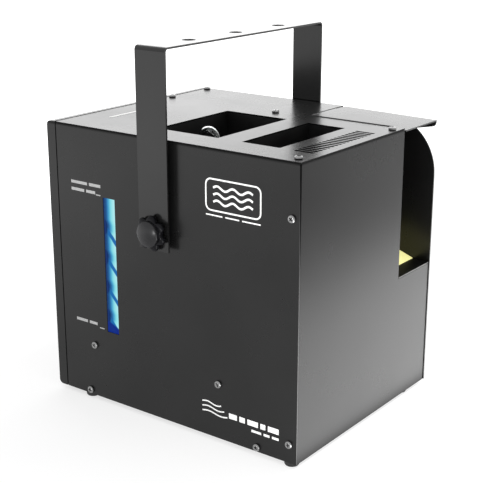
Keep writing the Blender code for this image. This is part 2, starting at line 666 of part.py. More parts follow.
def make_pump_hose():
    """Pressure hose from the pump round to the back of the heater."""
    points = [(-0.0485, 0.050, 0.0275), (-0.040, 0.051, 0.030), (-0.030, 0.062, 0.042),
              (-0.033, 0.090, 0.066), (-0.060, 0.130, 0.098), (-0.110, 0.160, 0.118),
              (-0.170, 0.172, 0.136), (-0.225, 0.178, 0.160), (-0.252, 0.190, 0.180),
              (-0.257, 0.204, 0.190), (-0.250, 0.214, 0.192), (-0.2385, 0.214, 0.192)]
    return hose("pump_hose", points, 0.002, "clear_hose", 0.010)


def make_heater_block():
    """Cast heater behind the outlet, with cooling grooves along its top."""
    x0, x1, y0, y1, z0, z1 = -0.238, -0.122, 0.194, 0.238, 0.172, 0.211
    groove, depth, count = 0.003, 0.006, 5
    pitch = (y1 - y0) / (count + 1)
    outline = [(y0, z0), (y1, z0), (y1, z1)]
    for k in range(count, 0, -1):
        y = y0 + pitch * k
        outline += [(y + groove / 2, z1), (y + groove / 2, z1 - depth), (y - groove / 2, z1 - depth),
                    (y - groove / 2, z1)]
    outline.append((y0, z1))
    return prisms("heater_block", [outline], "X", x0, x1, "aluminium")


def make_haze_nozzle():
    """Brass nozzle from the heater through the outlet's back wall."""
    profile = [(0.0016, 0.0), (0.0066, 0.0), (0.0066, 0.0110), (0.0050, 0.0125), (0.0050, 0.0190),
               (0.0034, 0.0225), (0.0016, 0.0225)]
    place = (-0.122 + GAP, NOZZLE_YZ[0], NOZZLE_YZ[1])
    return turned("haze_nozzle", profile, "X", "brass", place, sides=16, closed=True)


# ---- fan ------------------------------------------------------------------------------------------
def sector(inner, outer, start, end, steps=6):
    """Outline of a part of a ring, between two angles in degrees."""
    angles = [math.radians(start + (end - start) * k / steps) for k in range(steps + 1)]
    near = [(inner * math.cos(t), inner * math.sin(t)) for t in angles]
    far = [(outer * math.cos(t), outer * math.sin(t)) for t in reversed(angles)]
    return near + far


def make_fan_frame():
    """Fan housing: a square frame with a round duct and a spoked motor mount at its back."""
    half, duct, hub = FAN_SIZE / 2 - 0.0002, FAN_SIZE / 2 - 0.0022, 0.013
    outline = rounded((-half, -half), (half, half), 0.004)
    place = (CHANNEL_BACK - SHEET - GAP - FAN_DEPTH, FAN_CENTRE[0], FAN_CENTRE[1])
    frame = prisms("fan_frame", [outline], "X", 0.0, FAN_DEPTH, "black_plastic", place)
    cut(frame, [circle((0.0, 0.0), duct, 32)], "X", 0.003, FAN_DEPTH + 0.002)
    gaps = [sector(hub, duct - 0.0004, 90 * k + 5, 90 * k + 85) for k in range(4)]
    return cut(frame, gaps, "X", -0.002, 0.005)


def make_fan_rotor():
    """Seven swept blades round a hub."""
    hub, tip, blades = 0.012, 0.0265, 7
    outline = []
    for k in range(blades):
        start = 360.0 * k / blades
        for radius, turn in ((hub, 0.0), (0.019, 5.0), (tip, 14.0), (tip, 30.0), (0.019, 15.0), (hub, 9.0)):
            t = math.radians(start + turn)
            outline.append((radius * math.cos(t), radius * math.sin(t)))
        for turn in (26.0, 39.0):
            t = math.radians(start + turn)
            outline.append((hub * math.cos(t), hub * math.sin(t)))
    place = (CHANNEL_BACK - SHEET - GAP - FAN_DEPTH, FAN_CENTRE[0], FAN_CENTRE[1])
    return prisms("fan_rotor", [outline], "X", 0.0045, FAN_DEPTH - 0.003, "black_plastic", place)


# ---- electrics ------------------------------------------------------------------------------------
def make_control_board():
    """Circuit board behind the rear panel's display."""
    return block("control_board", (-0.3020, 0.040, 0.165), (-0.3004, 0.145, 0.270), "board_green")


def make_power_supply():
    """Boxed supply on the base pan."""
    low, high = (-0.285, 0.176, SHEET + GAP), (-0.215, 0.240, 0.056)
    supply = block("power_supply", low, high, "galvanised")
    slots = [rectangle((-0.277 + 0.009 * k, 0.186), (-0.273 + 0.009 * k, 0.230)) for k in range(7)]
    return cut(supply, slots, "Z", 0.052, 0.060)


def make_display():
    """Display module: bezel outside, glass recess, body through the rear panel."""
    y, z = DISPLAY
    bezel = rounded((y - 0.038, z - 0.023), (y + 0.038, z + 0.023), 0.003)
    display = prisms("display", [bezel], "X", REAR_MOST, PAN_BACK - GAP, "black_plastic")
    body = rectangle((y - 0.0335, z - 0.0185), (y + 0.0335, z + 0.0185))
    weld(display, [body], "X", REAR_MOST + 0.001, -0.3085)
    recess = rectangle((y - 0.028, z - 0.012), (y + 0.028, z + 0.012))
    return cut(display, [recess], "X", REAR_MOST - 0.001, REAR_MOST + 0.0012)


def make_button(name, y):
    """Push button with a shallow dish, on a stem that reaches the board."""
    out = PAN_BACK - 0.0024
    profile = [(0.0, 0.0006), (0.0025, 0.0004), (0.0042, 0.0), (BUTTON_RADIUS, 0.0008),
               (BUTTON_RADIUS, 0.0060), (0.0025, 0.0060), (0.0025, 0.0205), (0.0, 0.0205)]
    return turned(name, profile, "X", "button_grey", (out, y, BUTTON_Z), sides=20)


def make_power_switch_frame():
    """Housing of the rocker switch."""
    y, z = SWITCH
    flange = rounded((y - 0.0125, z - 0.0165), (y + 0.0125, z + 0.0165), 0.0015)
    frame = prisms("power_switch_frame", [flange], "X", PAN_BACK - 0.0018, PAN_BACK - GAP, "black_plastic")
    weld(frame, [rectangle((y - 0.0100, z - 0.0140), (y + 0.0100, z + 0.0140))], "X",
         PAN_BACK - 0.001, PAN_BACK + 0.018)
    recess = rectangle((y - 0.0088, z - 0.0132), (y + 0.0088, z + 0.0132))
    return cut(frame, [recess], "X", PAN_BACK - 0.004, PAN_BACK + 0.008)


def make_power_rocker():
    """Rocker with a shallow V face, tilted to its off side about its pivot."""
    half, tilt = 0.0124, math.radians(8.0)
    flat = [(-0.0042, -half), (-0.0022, 0.0), (-0.0042, half), (0.0010, half), (0.0035, 0.0),
            (0.0010, -half)]
    outline = [(x * math.cos(tilt) + z * math.sin(tilt), z * math.cos(tilt) - x * math.sin(tilt))
               for x, z in flat]
    place = (PAN_BACK + 0.0032, SWITCH[0], SWITCH[1])
    return prisms("power_rocker", [outline], "Y", -0.0084, 0.0084, "switch_red", place)


def make_power_inlet():
    """Mains inlet: flanged body with a deep recess for the connector."""
    y, z = INLET
    flange = [(y - 0.025, z - 0.006), (y - 0.017, z - 0.013), (y + 0.017, z - 0.013),
              (y + 0.025, z - 0.006), (y + 0.025, z + 0.006), (y + 0.017, z + 0.013),
              (y - 0.017, z + 0.013), (y - 0.025, z + 0.006)]
    inlet = prisms("power_inlet", [flange], "X", PAN_BACK - 0.0024, PAN_BACK - GAP, "black_plastic")
    weld(inlet, [rectangle((y - 0.0140, z - 0.0100), (y + 0.0140, z + 0.0100))], "X",
         PAN_BACK - 0.001, PAN_BACK + 0.022)
    recess = [(y - 0.0120, z - 0.0080), (y + 0.0120, z - 0.0080), (y + 0.0120, z + 0.0045),
              (y + 0.0085, z + 0.0080), (y - 0.0085, z + 0.0080), (y - 0.0120, z + 0.0045)]
    return cut(inlet, [recess], "X", PAN_BACK - 0.004, PAN_BACK + 0.0165)


def make_dmx_socket(name, y, recess_radius, depth):
    """Round three-pole data socket on a square flange; one is sunk, the other nearly flush."""
    flange = rounded((y - 0.013, DMX_Z - 0.0155), (y + 0.013, DMX_Z + 0.0155), 0.003)
    socket = prisms(name, [flange], "X", PAN_BACK - 0.0020, PAN_BACK - GAP, "black_plastic")
    weld(socket, [circle((y, DMX_Z), 0.0115)], "X", PAN_BACK - 0.001, PAN_BACK + 0.019)
    recess = circle((y, DMX_Z), recess_radius)
    return cut(socket, [recess], "X", PAN_BACK - 0.004, PAN_BACK - 0.002 + depth)


# ---- feet and screws ------------------------------------------------------------------------------
def make_foot(name, x, y):
    """Rubber foot under the base pan."""
    profile = [(0.0, -FOOT_HEIGHT), (FOOT_RADIUS - 0.0008, -FOOT_HEIGHT), (FOOT_RADIUS, -0.0042),
               (FOOT_RADIUS + 0.0003, -GAP), (0.0, -GAP)]
    return turned(name, profile, "Z", "rubber", (x, y, 0.0), sides=24)


def make_screw(name, axis, out, place):
    """Pan-head screw through a panel; out is the head's direction along the axis."""
    profile = [(0.0, -SCREW_LENGTH), (SCREW_SHANK, -SCREW_LENGTH), (SCREW_SHANK, GAP),
               (SCREW_HEAD, GAP), (SCREW_HEAD, 0.0012), (0.0034, 0.0020), (0.0020, SCREW_HEIGHT - 0.0001),
               (0.0, SCREW_HEIGHT)]
    profile = [(radius, height * out) for radius, height in profile]
    return turned(name, profile, axis, "nickel", place, sides=16)


def make_screws():
    """The screws that show on the near side and on the top."""
    for k, (x, z) in enumerate(SIDE_SCREWS, 1):
        make_screw("side_screw_%d" % k, "Y", -1, (x, 0.0, z))
    for k, (x, y) in enumerate(TOP_SCREWS, 1):
        make_screw("top_screw_%d" % k, "Z", 1, (x, y, CASE_HEIGHT))


def make_feet():
    """Four feet near the corners of the base."""
    for end, x in zip(("rear", "front"), FOOT_X):
        for side, y in zip(("near", "far"), FOOT_Y):
            make_foot("foot_%s_%s" % (end, side), x, y)


def build():
    """Make every piece of the machine."""
    clear_scene()
    make_base_pan()
    make_side_panel_near()
    make_side_panel_far()
    make_front_panel()
    make_rear_panel()
    make_top_panel()
    make_filling_well()
    make_well("intake_well", INTAKE_OPENING, INTAKE_FLOOR)
    make_outlet_channel()
    make_channel_floor()
    make_caution_label()
    make_hood()
    make_hood_hinge_leaf()
    make_hood_hinge_pin()
    make_yoke()
    for side_name, side in (("near", -1), ("far", 1)):
        make_knob("knob_" + side_name, side)
        make_pivot_spacer("pivot_spacer_" + side_name, side)
    make_level_window()
    make_level_light()
    make_fluid_tank()
    make_tank_cap()
    make_pickup_hose()
    make_pump()
    make_pump_hose()
    make_heater_block()
    make_haze_nozzle()
    make_fan_frame()
    make_fan_rotor()
    make_control_board()
    make_power_supply()
    make_display()
    for name, y in zip(BUTTON_NAMES, BUTTON_Y):
        make_button("button_" + name, y)
    make_power_switch_frame()
    make_power_rocker()
    make_power_inlet()
    make_dmx_socket("dmx_in", DMX_IN_Y, 0.0095, 0.0120)
    make_dmx_socket("dmx_out", DMX_OUT_Y, 0.0088, 0.0014)
    make_feet()
    make_screws()


build()
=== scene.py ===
"""Looks of the haze machine: fine pieces, materials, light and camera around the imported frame."""

import json
import math

import bmesh
import bpy
from mathutils import Matrix, Vector


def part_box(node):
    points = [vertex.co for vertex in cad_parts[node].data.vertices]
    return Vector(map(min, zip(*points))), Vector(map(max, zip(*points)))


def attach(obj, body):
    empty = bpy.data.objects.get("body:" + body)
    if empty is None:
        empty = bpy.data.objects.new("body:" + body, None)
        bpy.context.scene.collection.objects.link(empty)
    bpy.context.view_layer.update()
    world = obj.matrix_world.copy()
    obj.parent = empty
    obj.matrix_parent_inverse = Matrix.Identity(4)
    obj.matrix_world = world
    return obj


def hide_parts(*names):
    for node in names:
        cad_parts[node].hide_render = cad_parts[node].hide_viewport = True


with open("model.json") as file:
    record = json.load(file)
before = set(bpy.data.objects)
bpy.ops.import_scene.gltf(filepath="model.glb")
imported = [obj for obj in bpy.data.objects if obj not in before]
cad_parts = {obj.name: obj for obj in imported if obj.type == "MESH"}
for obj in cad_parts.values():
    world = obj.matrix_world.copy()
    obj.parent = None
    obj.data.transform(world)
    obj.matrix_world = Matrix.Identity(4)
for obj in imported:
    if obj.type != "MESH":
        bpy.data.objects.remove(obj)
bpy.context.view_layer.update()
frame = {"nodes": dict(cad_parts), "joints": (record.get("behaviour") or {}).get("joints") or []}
NODES = frame["nodes"]

# ---- places read from the frame, in metres --------------------------------------------------------
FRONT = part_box("front_panel")[1].x
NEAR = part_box("side_panel_near")[0].y
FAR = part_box("side_panel_far")[1].y
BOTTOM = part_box("base_pan")[0].z
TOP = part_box("top_panel")[1].z
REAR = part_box("rear_panel")[0].x
CORNER = Vector((FRONT, NEAR, BOTTOM))
JOINTS = {joint["name"]: joint for joint in frame["joints"]}


def case(x, y, z):
    """A point given from the case's near bottom front corner."""
    return CORNER + Vector((x, y, z))


def middle(node):
    """Centre of a CAD node's box."""
    low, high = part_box(node)
    return (low + high) / 2.0


# ---- node helpers ---------------------------------------------------------------------------------
class Look:
    """A node material under construction."""

    def __init__(self, name):
        self.material = bpy.data.materials.new(name)
        self.material.use_nodes = True
        self.tree = self.material.node_tree
        self.shader = self.tree.nodes["Principled BSDF"]
        self.place = self.tree.nodes.new("ShaderNodeTexCoord").outputs["Object"]

    def set(self, **values):
        """Set the shader's own sockets; a name has underscores for spaces."""
        for name, value in values.items():
            self.shader.inputs[name.replace("_", " ")].default_value = value

    def link(self, output, socket):
        """Join an output to one of the shader's sockets."""
        self.tree.links.new(output, self.shader.inputs[socket])
        return self

    def vary(self, socket, noise, low, high, start=0.3, end=0.7):
        """Let a socket wander from low to high with a noise output."""
        return self.link(self.ramp(noise, [(start, low), (end, high)]), socket)

    def axes(self):
        """Object coordinates, with one output for each of X, Y and Z."""
        node = self.tree.nodes.new("ShaderNodeSeparateXYZ")
        self.tree.links.new(self.place, node.inputs["Vector"])
        return node.outputs

    def noise(self, scale, detail=2.0, rough=0.5, squeeze=None):
        """Noise in object space, in cycles per metre, times squeeze along each axis if that is given."""
        place = self.place
        if squeeze:
            mapping = self.tree.nodes.new("ShaderNodeMapping")
            mapping.inputs["Scale"].default_value = squeeze
            self.tree.links.new(place, mapping.inputs["Vector"])
            place = mapping.outputs["Vector"]
        node = self.tree.nodes.new("ShaderNodeTexNoise")
        node.inputs["Scale"].default_value = scale
        node.inputs["Detail"].default_value = detail
        node.inputs["Roughness"].default_value = rough
        self.tree.links.new(place, node.inputs["Vector"])
        return node.outputs["Fac"]

    def ramp(self, factor, stops):
        """Colours or greys by factor: stops are (position, grey or colour)."""
        node = self.tree.nodes.new("ShaderNodeValToRGB")
        ramp = node.color_ramp
        while len(ramp.elements) < len(stops):
            ramp.elements.new(0.5)
        for element, (position, value) in zip(ramp.elements, stops):
            colour = value if isinstance(value, tuple) else (value, value, value)
            element.position = position
            element.color = (*colour, 1.0)
        self.tree.links.new(factor, node.inputs["Fac"])
        return node.outputs["Color"]

    def mix(self, factor, first, second):
        """Mix two colours by a factor output; inputs 6 and 7 and output 2 are the node's colour sockets."""
        node = self.tree.nodes.new("ShaderNodeMix")
        node.data_type = "RGBA"
        self.tree.links.new(factor, node.inputs["Factor"])
        for socket, value in ((node.inputs[6], first), (node.inputs[7], second)):
            if isinstance(value, tuple):
                socket.default_value = (*value, 1.0)
            else:
                self.tree.links.new(value, socket)
        return node.outputs[2]

    def math(self, operation, first, second=0.0):
        """One math node; each input is an output or a number."""
        node = self.tree.nodes.new("ShaderNodeMath")
        node.operation = operation
        for socket, value in zip(node.inputs, (first, second)):
            if isinstance(value, (int, float)):
                socket.default_value = value
            else:
                self.tree.links.new(value, socket)
        return node.outputs["Value"]

    def bump(self, height, strength, distance):
        """Surface relief from a height output."""
        node = self.tree.nodes.new("ShaderNodeBump")
        node.inputs["Strength"].default_value = strength
        node.inputs["Distance"].default_value = distance
        self.tree.links.new(height, node.inputs["Height"])
        return self.link(node.outputs["Normal"], "Normal")


# Painted shade: the specular level drops with depth under the top, as a share of JOINT_SHADE. SIDE_SHADE
# paints the shadow in the gap under the top sheet's edge on the side, front and rear panels; TOP_SHADE
# darkens the top sheet's edges and the walls of its slots and openings, where shade falls.
JOINT_SHADE = 0.0040
SIDE_SHADE = [(0.0, 0.5), (0.20, 0.5), (0.30, 0.08), (0.62, 0.2), (1.0, 0.5)]
TOP_SHADE = [(0.0, 0.5), (0.03, 0.5), (0.06, 0.06), (1.0, 0.06)]


def coated(name, base, rough, grain, **values):
    """A surface whose colour and roughness wander. base and rough hold the noise, the low and the high
    value, and noise levels for them other than vary's own; grain holds noise, strength and distance."""
    look = Look(name)
    look.set(**values)
    look.vary("Base Color", look.noise(*base[0]), *base[1:])
    look.vary("Roughness", look.noise(*rough[0]), *rough[1:])
    return look.bump(look.noise(*grain[0]), *grain[1:])


def powder_coat(name, index, low, high, shade=None):
    """Satin black powder coat with a fine orange-peel grain, and painted shade under the top if one is given.
    """
    look = coated(name, ((14.0, 4.0), 0.0052, 0.0072, 0.35, 0.65), ((9.0, 5.0, 0.6), low, high),
                  ((900.0, 2.0, 0.5), 0.05, 0.0002), IOR=index)
    if shade:
        # painted shade: less specular reflection with depth under the top
        below = look.math("DIVIDE", look.math("SUBTRACT", TOP, look.axes()["Z"]), JOINT_SHADE)
        look.link(look.ramp(below, shade), "Specular IOR Level")
    return look.material


def grained_coat():
    """Inner sheet: the same coat with a coarser grain."""
    return coated("grained_coat", ((40.0, 4.0), 0.0040, 0.0070), ((25.0, 3.0), 0.38, 0.50),
                  ((900.0, 3.0, 0.6), 0.35, 0.0004), IOR=1.42).material


def bright_metal(name, colour, roughness, grain=600.0, relief=0.08):
    """Plated or cast metal with fine scratches and slightly uneven shine."""
    darker = tuple(0.82 * c for c in colour)
    return coated(name, ((160.0, 3.0), darker, colour, 0.35),
                  ((90.0, 4.0, 0.7), roughness * 0.8, roughness * 1.3),
                  ((grain, 3.0, 0.7), relief, 0.0001), Metallic=1.0).material


def plastic(name, colour, roughness, grain=1400.0, relief=0.12, index=1.48):
    """Moulded plastic with a fine spark-eroded grain."""
    lighter = tuple(min(1.0, 1.3 * c + 0.002) for c in colour)
    return coated(name, ((60.0, 3.0), colour, lighter, 0.35),
                  ((35.0, 3.0), roughness * 0.85, roughness * 1.2),
                  ((grain, 2.0), relief, 0.0001), IOR=index).material


def rubber():
    """Dull rubber with moulding specks."""
    return coated("rubber", ((220.0, 5.0, 0.7), 0.012, 0.026, 0.35), ((70.0, 2.0), 0.62, 0.80),
                  ((1500.0, 3.0), 0.3, 0.0002)).material


def ink(name, colour):
    """Screen-printed ink, a little uneven."""
    look = Look(name)
    look.set(Roughness=0.5)
    pale = tuple(0.9 * c for c in colour)
    look.vary("Base Color", look.noise(900.0, 3.0), pale, colour, 0.3, 0.6)
    look.bump(look.noise(2500.0, 1.0), 0.1, 0.00005)
    return look.material


def yellow_film():
    """Blank yellow label film with painted light: its emission stands in for the light falling on it in the
    channel under the hood.
    """
    look = Look("yellow_film")
    look.set(IOR=1.45, Emission_Strength=0.70)
    film_and_glow = look.ramp(look.noise(30.0, 3.0), [(0.3, (0.92, 0.87, 0.36)), (0.7, (0.96, 0.92, 0.42))])
    # the film's colour drives both its base colour and its painted glow
    look.link(film_and_glow, "Base Color")
    look.link(film_and_glow, "Emission Color")
    look.vary("Roughness", look.noise(50.0, 2.0), 0.30, 0.42)
    look.bump(look.noise(350.0, 2.0), 0.08, 0.0001)
    return look.material


def tank_plastic():
    """Translucent blow-moulded plastic."""
    return coated("tank_plastic", ((30.0, 3.0), (0.72, 0.75, 0.74), (0.82, 0.84, 0.82)),
                  ((120.0, 2.0), 0.38, 0.5), ((300.0, 3.0), 0.2, 0.0002), IOR=1.5,
                  Transmission_Weight=0.35, Subsurface_Weight=0.2, Subsurface_Scale=0.004).material


def clear_tube():
    """Clear soft tubing, slightly cloudy."""
    return coated("clear_tube", ((60.0, 3.0), (0.80, 0.84, 0.83), (0.90, 0.92, 0.91)),
                  ((200.0, 2.0), 0.04, 0.07), ((500.0, 2.0), 0.05, 0.0001), IOR=1.42,
                  Transmission_Weight=1.0).material


def circuit_board():
    """Green board with a pattern of fine tracks."""
    look = Look("circuit_board")
    look.set(Roughness=0.4)
    tracks = look.ramp(look.noise(260.0, 0.0, 0.0, (1.0, 4.0, 1.0)), [(0.49, 0.0), (0.51, 1.0)])
    look.link(look.mix(tracks, (0.012, 0.10, 0.04), (0.03, 0.19, 0.08)), "Base Color")
    look.bump(look.noise(400.0, 2.0), 0.2, 0.0001)
    return look.material


# The window's bars, in shares of its height: spacing, places of a hard bar and of a soft one, and slope
# of the hard bars about the middle, which is a share of its width.
WINDOW_RIM, WINDOW_SUNK = 0.002, 0.0024
WINDOW_BARS = {"pitch": 0.2222, "hard": 0.693, "soft": 0.563, "slope": 0.123, "middle": 0.72}


def lit_window(low, high):
    """Backlit level window: pale towards the front, deep blue at its rear and bottom, slanting bars."""
    look = Look("lit_window")
    look.set(Roughness=0.25, IOR=1.1, Emission_Strength=0.98)
    axes = look.axes()

    def share(output, start, end):
        """0 to 1 across the opening."""
        inner = end - start - 2.0 * WINDOW_RIM
        return look.math("DIVIDE", look.math("SUBTRACT", output, start + WINDOW_RIM), inner)

    across = share(axes["X"], low.x, high.x)
    height = share(axes["Z"], low.z, high.z)
    wobble = look.math("MULTIPLY", look.math("SUBTRACT", look.noise(160.0, 2.0), 0.5), 0.05)

    def bars(level, start):
        """Distance from the nearest bar, in pitches."""
        place = look.math("DIVIDE", look.math("SUBTRACT", level, start), WINDOW_BARS["pitch"])
        place = look.math("ADD", place, look.math("ADD", wobble, 0.5))
        return look.math("ABSOLUTE", look.math("SUBTRACT", look.math("FRACT", place), 0.5))

    lean = look.math("SUBTRACT", across, WINDOW_BARS["middle"])
    leaning = look.math("ADD", height, look.math("MULTIPLY", lean, WINDOW_BARS["slope"]))
    hard = look.ramp(bars(leaning, WINDOW_BARS["hard"]), [(0.085, 1.0), (0.125, 0.0)])
    hard = look.math("MULTIPLY", hard, look.ramp(height, [(0.80, 1.0), (0.84, 0.0)]))
    hard = look.math("MULTIPLY", hard, look.ramp(across, [(0.14, 0.0), (0.26, 1.0)]))
    soft = look.ramp(bars(height, WINDOW_BARS["soft"]), [(0.08, 1.0), (0.26, 0.0)])
    soft = look.math("MULTIPLY", soft, look.ramp(height, [(0.84, 1.0), (0.88, 0.0)]))
    waterline = look.math("ADD", height, look.math("MULTIPLY", across, 0.05))
    sunk = look.ramp(waterline, [(0.075, 1.0), (0.085, 0.0)])
    shift = look.math("ADD", look.math("MULTIPLY", soft, 0.15), wobble)
    tone = look.math("SUBTRACT", across, shift)
    glow = look.ramp(tone, [(0.0, (0.002, 0.016, 0.13)), (0.06, (0.010, 0.060, 0.19)),
                            (0.18, (0.017, 0.120, 0.35)), (0.34, (0.062, 0.36, 0.61)),
                            (0.52, (0.23, 0.71, 0.78)), (0.74, (0.40, 0.80, 0.84)),
                            (1.0, (0.50, 0.80, 0.84))])
    glow = look.mix(sunk, look.mix(hard, glow, (0.010, 0.14, 0.41)), (0.002, 0.014, 0.22))
    look.link(glow, "Emission Color")
    look.link(look.mix(hard, (0.004, 0.014, 0.02), (0.002, 0.008, 0.02)), "Base Color")
    look.bump(look.noise(300.0, 2.0), 0.1, 0.0002)
    return look.material


def screen_glass():
    """Dark display glass with a faint backlight."""
    look = Look("screen_glass")
    look.set(Roughness=0.08, Coat_Weight=0.5, Emission_Strength=0.6)
    glow = look.ramp(look.noise(30.0, 2.0), [(0.3, (0.003, 0.012, 0.05)), (0.7, (0.006, 0.022, 0.09))])
    look.link(glow, "Emission Color")
    look.vary("Base Color", look.noise(50.0), 0.006, 0.010)
    return look.material


def digit_glow():
    """Lit segments of the display."""
    look = Look("digit_glow")
    look.set(Emission_Strength=2.2, Roughness=0.4)
    look.vary("Emission Color", look.noise(300.0), (0.35, 0.75, 1.0), (0.5, 0.85, 1.0))
    return look.material


# The floor's painted glow, though it is no lamp: emission levels by distance ahead of the front, and by
# distance beyond the near side where the floor is more than FAR_AHEAD ahead of the front. The steady glow
# fills in the shade under the machine; the bright strip is a painted pool of light that the front mirrors.
FLOOR_GLOW = ((-0.90, 1.30), (-0.60, 0.85), (-0.42, 0.66), (-0.30, 0.66), (0.0, 0.75), (0.02, 5.30),
              (0.17, 5.00), (0.26, 3.90), (0.31, 1.80), (0.35, 0.68), (0.42, 0.66))
FAR_GLOW = ((0.80, 0.0), (1.12, 0.60))
GLOW_START, GLOW_SPAN = 1.0, 1.5
FAR_AHEAD, FAR_SPAN = 0.3, 2.0
BRIGHTEST = 5.3


def pale_floor():
    """Pale floor with painted glow; it glows more in a strip in front of the machine, a painted pool of light
    which the front mirrors.
    """
    look = Look("pale_floor")
    look.set(Roughness=0.85, IOR=1.1, Emission_Strength=BRIGHTEST)
    look.vary("Base Color", look.noise(3.0, 2.0), 0.34, 0.36)
    axes = look.axes()
    ahead = look.math("DIVIDE", look.math("ADD", axes["X"], GLOW_START - FRONT), GLOW_SPAN)
    strip = look.ramp(ahead, [((x + GLOW_START) / GLOW_SPAN, level / BRIGHTEST) for x, level in FLOOR_GLOW])
    aside = look.math("DIVIDE", look.math("SUBTRACT", axes["Y"], NEAR), FAR_SPAN)
    far = look.ramp(aside, [(y / FAR_SPAN, level / BRIGHTEST) for y, level in FAR_GLOW])
    far = look.math("MULTIPLY", far, look.math("GREATER_THAN", axes["X"], FRONT + FAR_AHEAD))
    return look.link(look.math("ADD", strip, far), "Emission Color").material


COATS = {
    "powder_coat": (1.36, 0.25, 0.30),
    "case_coat": (1.36, 0.25, 0.30, SIDE_SHADE),
    # The front panel's coat is the side coat with painted shade: a lower IOR, so the front reflects less and
    # reads darker than the sides.
    "front_coat": (1.22, 0.24, 0.29, SIDE_SHADE),
    "top_coat": (1.36, 0.25, 0.30, TOP_SHADE),
    "yoke_coat": (1.44, 0.17, 0.21),
}
METALS = {
    "galvanised": ((0.52, 0.54, 0.55), 0.42, 120.0, 0.2),
    "nickel": ((0.74, 0.72, 0.68), 0.20),
    "screw_steel": ((0.30, 0.30, 0.30), 0.13),
    "brass": ((0.75, 0.52, 0.20), 0.26),
    "aluminium": ((0.62, 0.62, 0.63), 0.42, 350.0, 0.5),
}
PLASTICS = {
    "black_plastic": ((0.012, 0.012, 0.013), 0.34),
    "knob_plastic": ((0.003, 0.003, 0.004), 0.10, 900.0, 0.03, 1.20),
    "knob_disc": ((0.010, 0.010, 0.011), 0.24, 1100.0, 0.06, 1.32),
    "button_grey": ((0.10, 0.10, 0.11), 0.5),
    "switch_red": ((0.50, 0.02, 0.02), 0.22, 900.0, 0.03),
}
INKS = {
    "white_ink": ((0.86, 0.86, 0.85),),
    "grey_ink": ((0.36, 0.36, 0.36),),
    "paper": ((0.80, 0.80, 0.79),),
}
MATERIALS = {
    "inner_sheet": grained_coat(),
    "rubber": rubber(),
    "yellow_label": yellow_film(),
    "tank_plastic": tank_plastic(),
    "clear_hose": clear_tube(),
    "board_green": circuit_board(),
    "lit_blue": lit_window(*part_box("level_window")),
    "screen_glass": screen_glass(),
    "digit_glow": digit_glow(),
}
for recipe, table in ((powder_coat, COATS), (bright_metal, METALS), (plastic, PLASTICS), (ink, INKS)):
    for finish_name, values in table.items():
        MATERIALS[finish_name] = recipe(finish_name, *values)


# ---- mesh helpers ---------------------------------------------------------------------------------
def new_object(name, mesh):
    """Put a bmesh in the scene as an object, its faces turned outwards."""
    bmesh.ops.recalc_face_normals(mesh, faces=mesh.faces)
    data = bpy.data.meshes.new(name)
    mesh.to_mesh(data)
    mesh.free()
    thing = bpy.data.objects.new(name, data)
    bpy.context.scene.collection.objects.link(thing)
    return thing


def new_piece(name, mesh, material, body="case", smooth=40.0):
    """Make an object from a bmesh, give it a material and let it ride on a body."""
    thing = new_object(name, mesh)
    thing.data.materials.append(MATERIALS[material])
    if smooth:
        thing.data.shade_smooth()
        thing.data.set_sharp_from_angle(angle=math.radians(smooth))
    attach(thing, body)
    return thing


def add_bevel(thing, width):
    """Round an object's sharp edges."""
    bevel = thing.modifiers.new("edges", "BEVEL")
    bevel.width = width
    bevel.segments = 2
    bevel.limit_method = "ANGLE"
    bevel.angle_limit = math.radians(35.0)
    bevel.harden_normals = True


def bridge(mesh, lower, upper):
    """Join two rings with the same number of vertices by quads."""
    for k in range(len(lower)):
        n = (k + 1) % len(lower)
        mesh.faces.new((lower[k], lower[n], upper[n], upper[k]))


def loft(mesh, rings, cap_ends=True):
    """Skin a row of rings, given as lists of points."""
    made = [[mesh.verts.new(point) for point in ring] for ring in rings]
    for lower, upper in zip(made, made[1:]):
        bridge(mesh, lower, upper)
    if cap_ends:
        mesh.faces.new(made[0])
        mesh.faces.new(made[-1])
    return made


def circle(radius, sides):
    """Points of a circle in a plane."""
    turns = [2.0 * math.pi * k / sides for k in range(sides)]
    return [(radius * math.cos(t), radius * math.sin(t)) for t in turns]


def rounded_outline(low, high, radius, steps=5):
    """A rectangle with round corners."""
    corners = ((high[0] - radius, high[1] - radius, 0.0), (low[0] + radius, high[1] - radius, 90.0),
               (low[0] + radius, low[1] + radius, 180.0), (high[0] - radius, low[1] + radius, 270.0))
    outline = []
    for x, y, start in corners:
        for k in range(steps + 1):
            t = math.radians(start + 90.0 * k / steps)
            outline.append((x + radius * math.cos(t), y + radius * math.sin(t)))
    return outline


def axis_frame(axis, sign):
    """Matrix that turns +Z to plus or minus an axis."""
    direction = {"X": Vector((sign, 0, 0)), "Y": Vector((0, sign, 0)), "Z": Vector((0, 0, sign))}[axis]
    return direction.to_track_quat("Z", "Y").to_matrix().to_4x4()


def add_turned(mesh, profile, matrix, sides):
    """Add a turned body to a bmesh: profile lists (radius, height) along the matrix's Z."""
    rings = []
    for radius, height in profile:
        points = circle(radius, sides) if radius else [(0.0, 0.0)]
        rings.append([mesh.verts.new(matrix @ Vector((x, y, height))) for x, y in points])
    for lower, upper in zip(rings, rings[1:]):
        for k in range(sides):
            n = (k + 1) % sides
            corners = [lower[k % len(lower)], lower[n % len(lower)], upper[n % len(upper)],
                       upper[k % len(upper)]]
            mesh.faces.new(list(dict.fromkeys(corners)))
    for ring in (rings[0], rings[-1]):
        if len(ring) > 1:
            mesh.faces.new(ring)


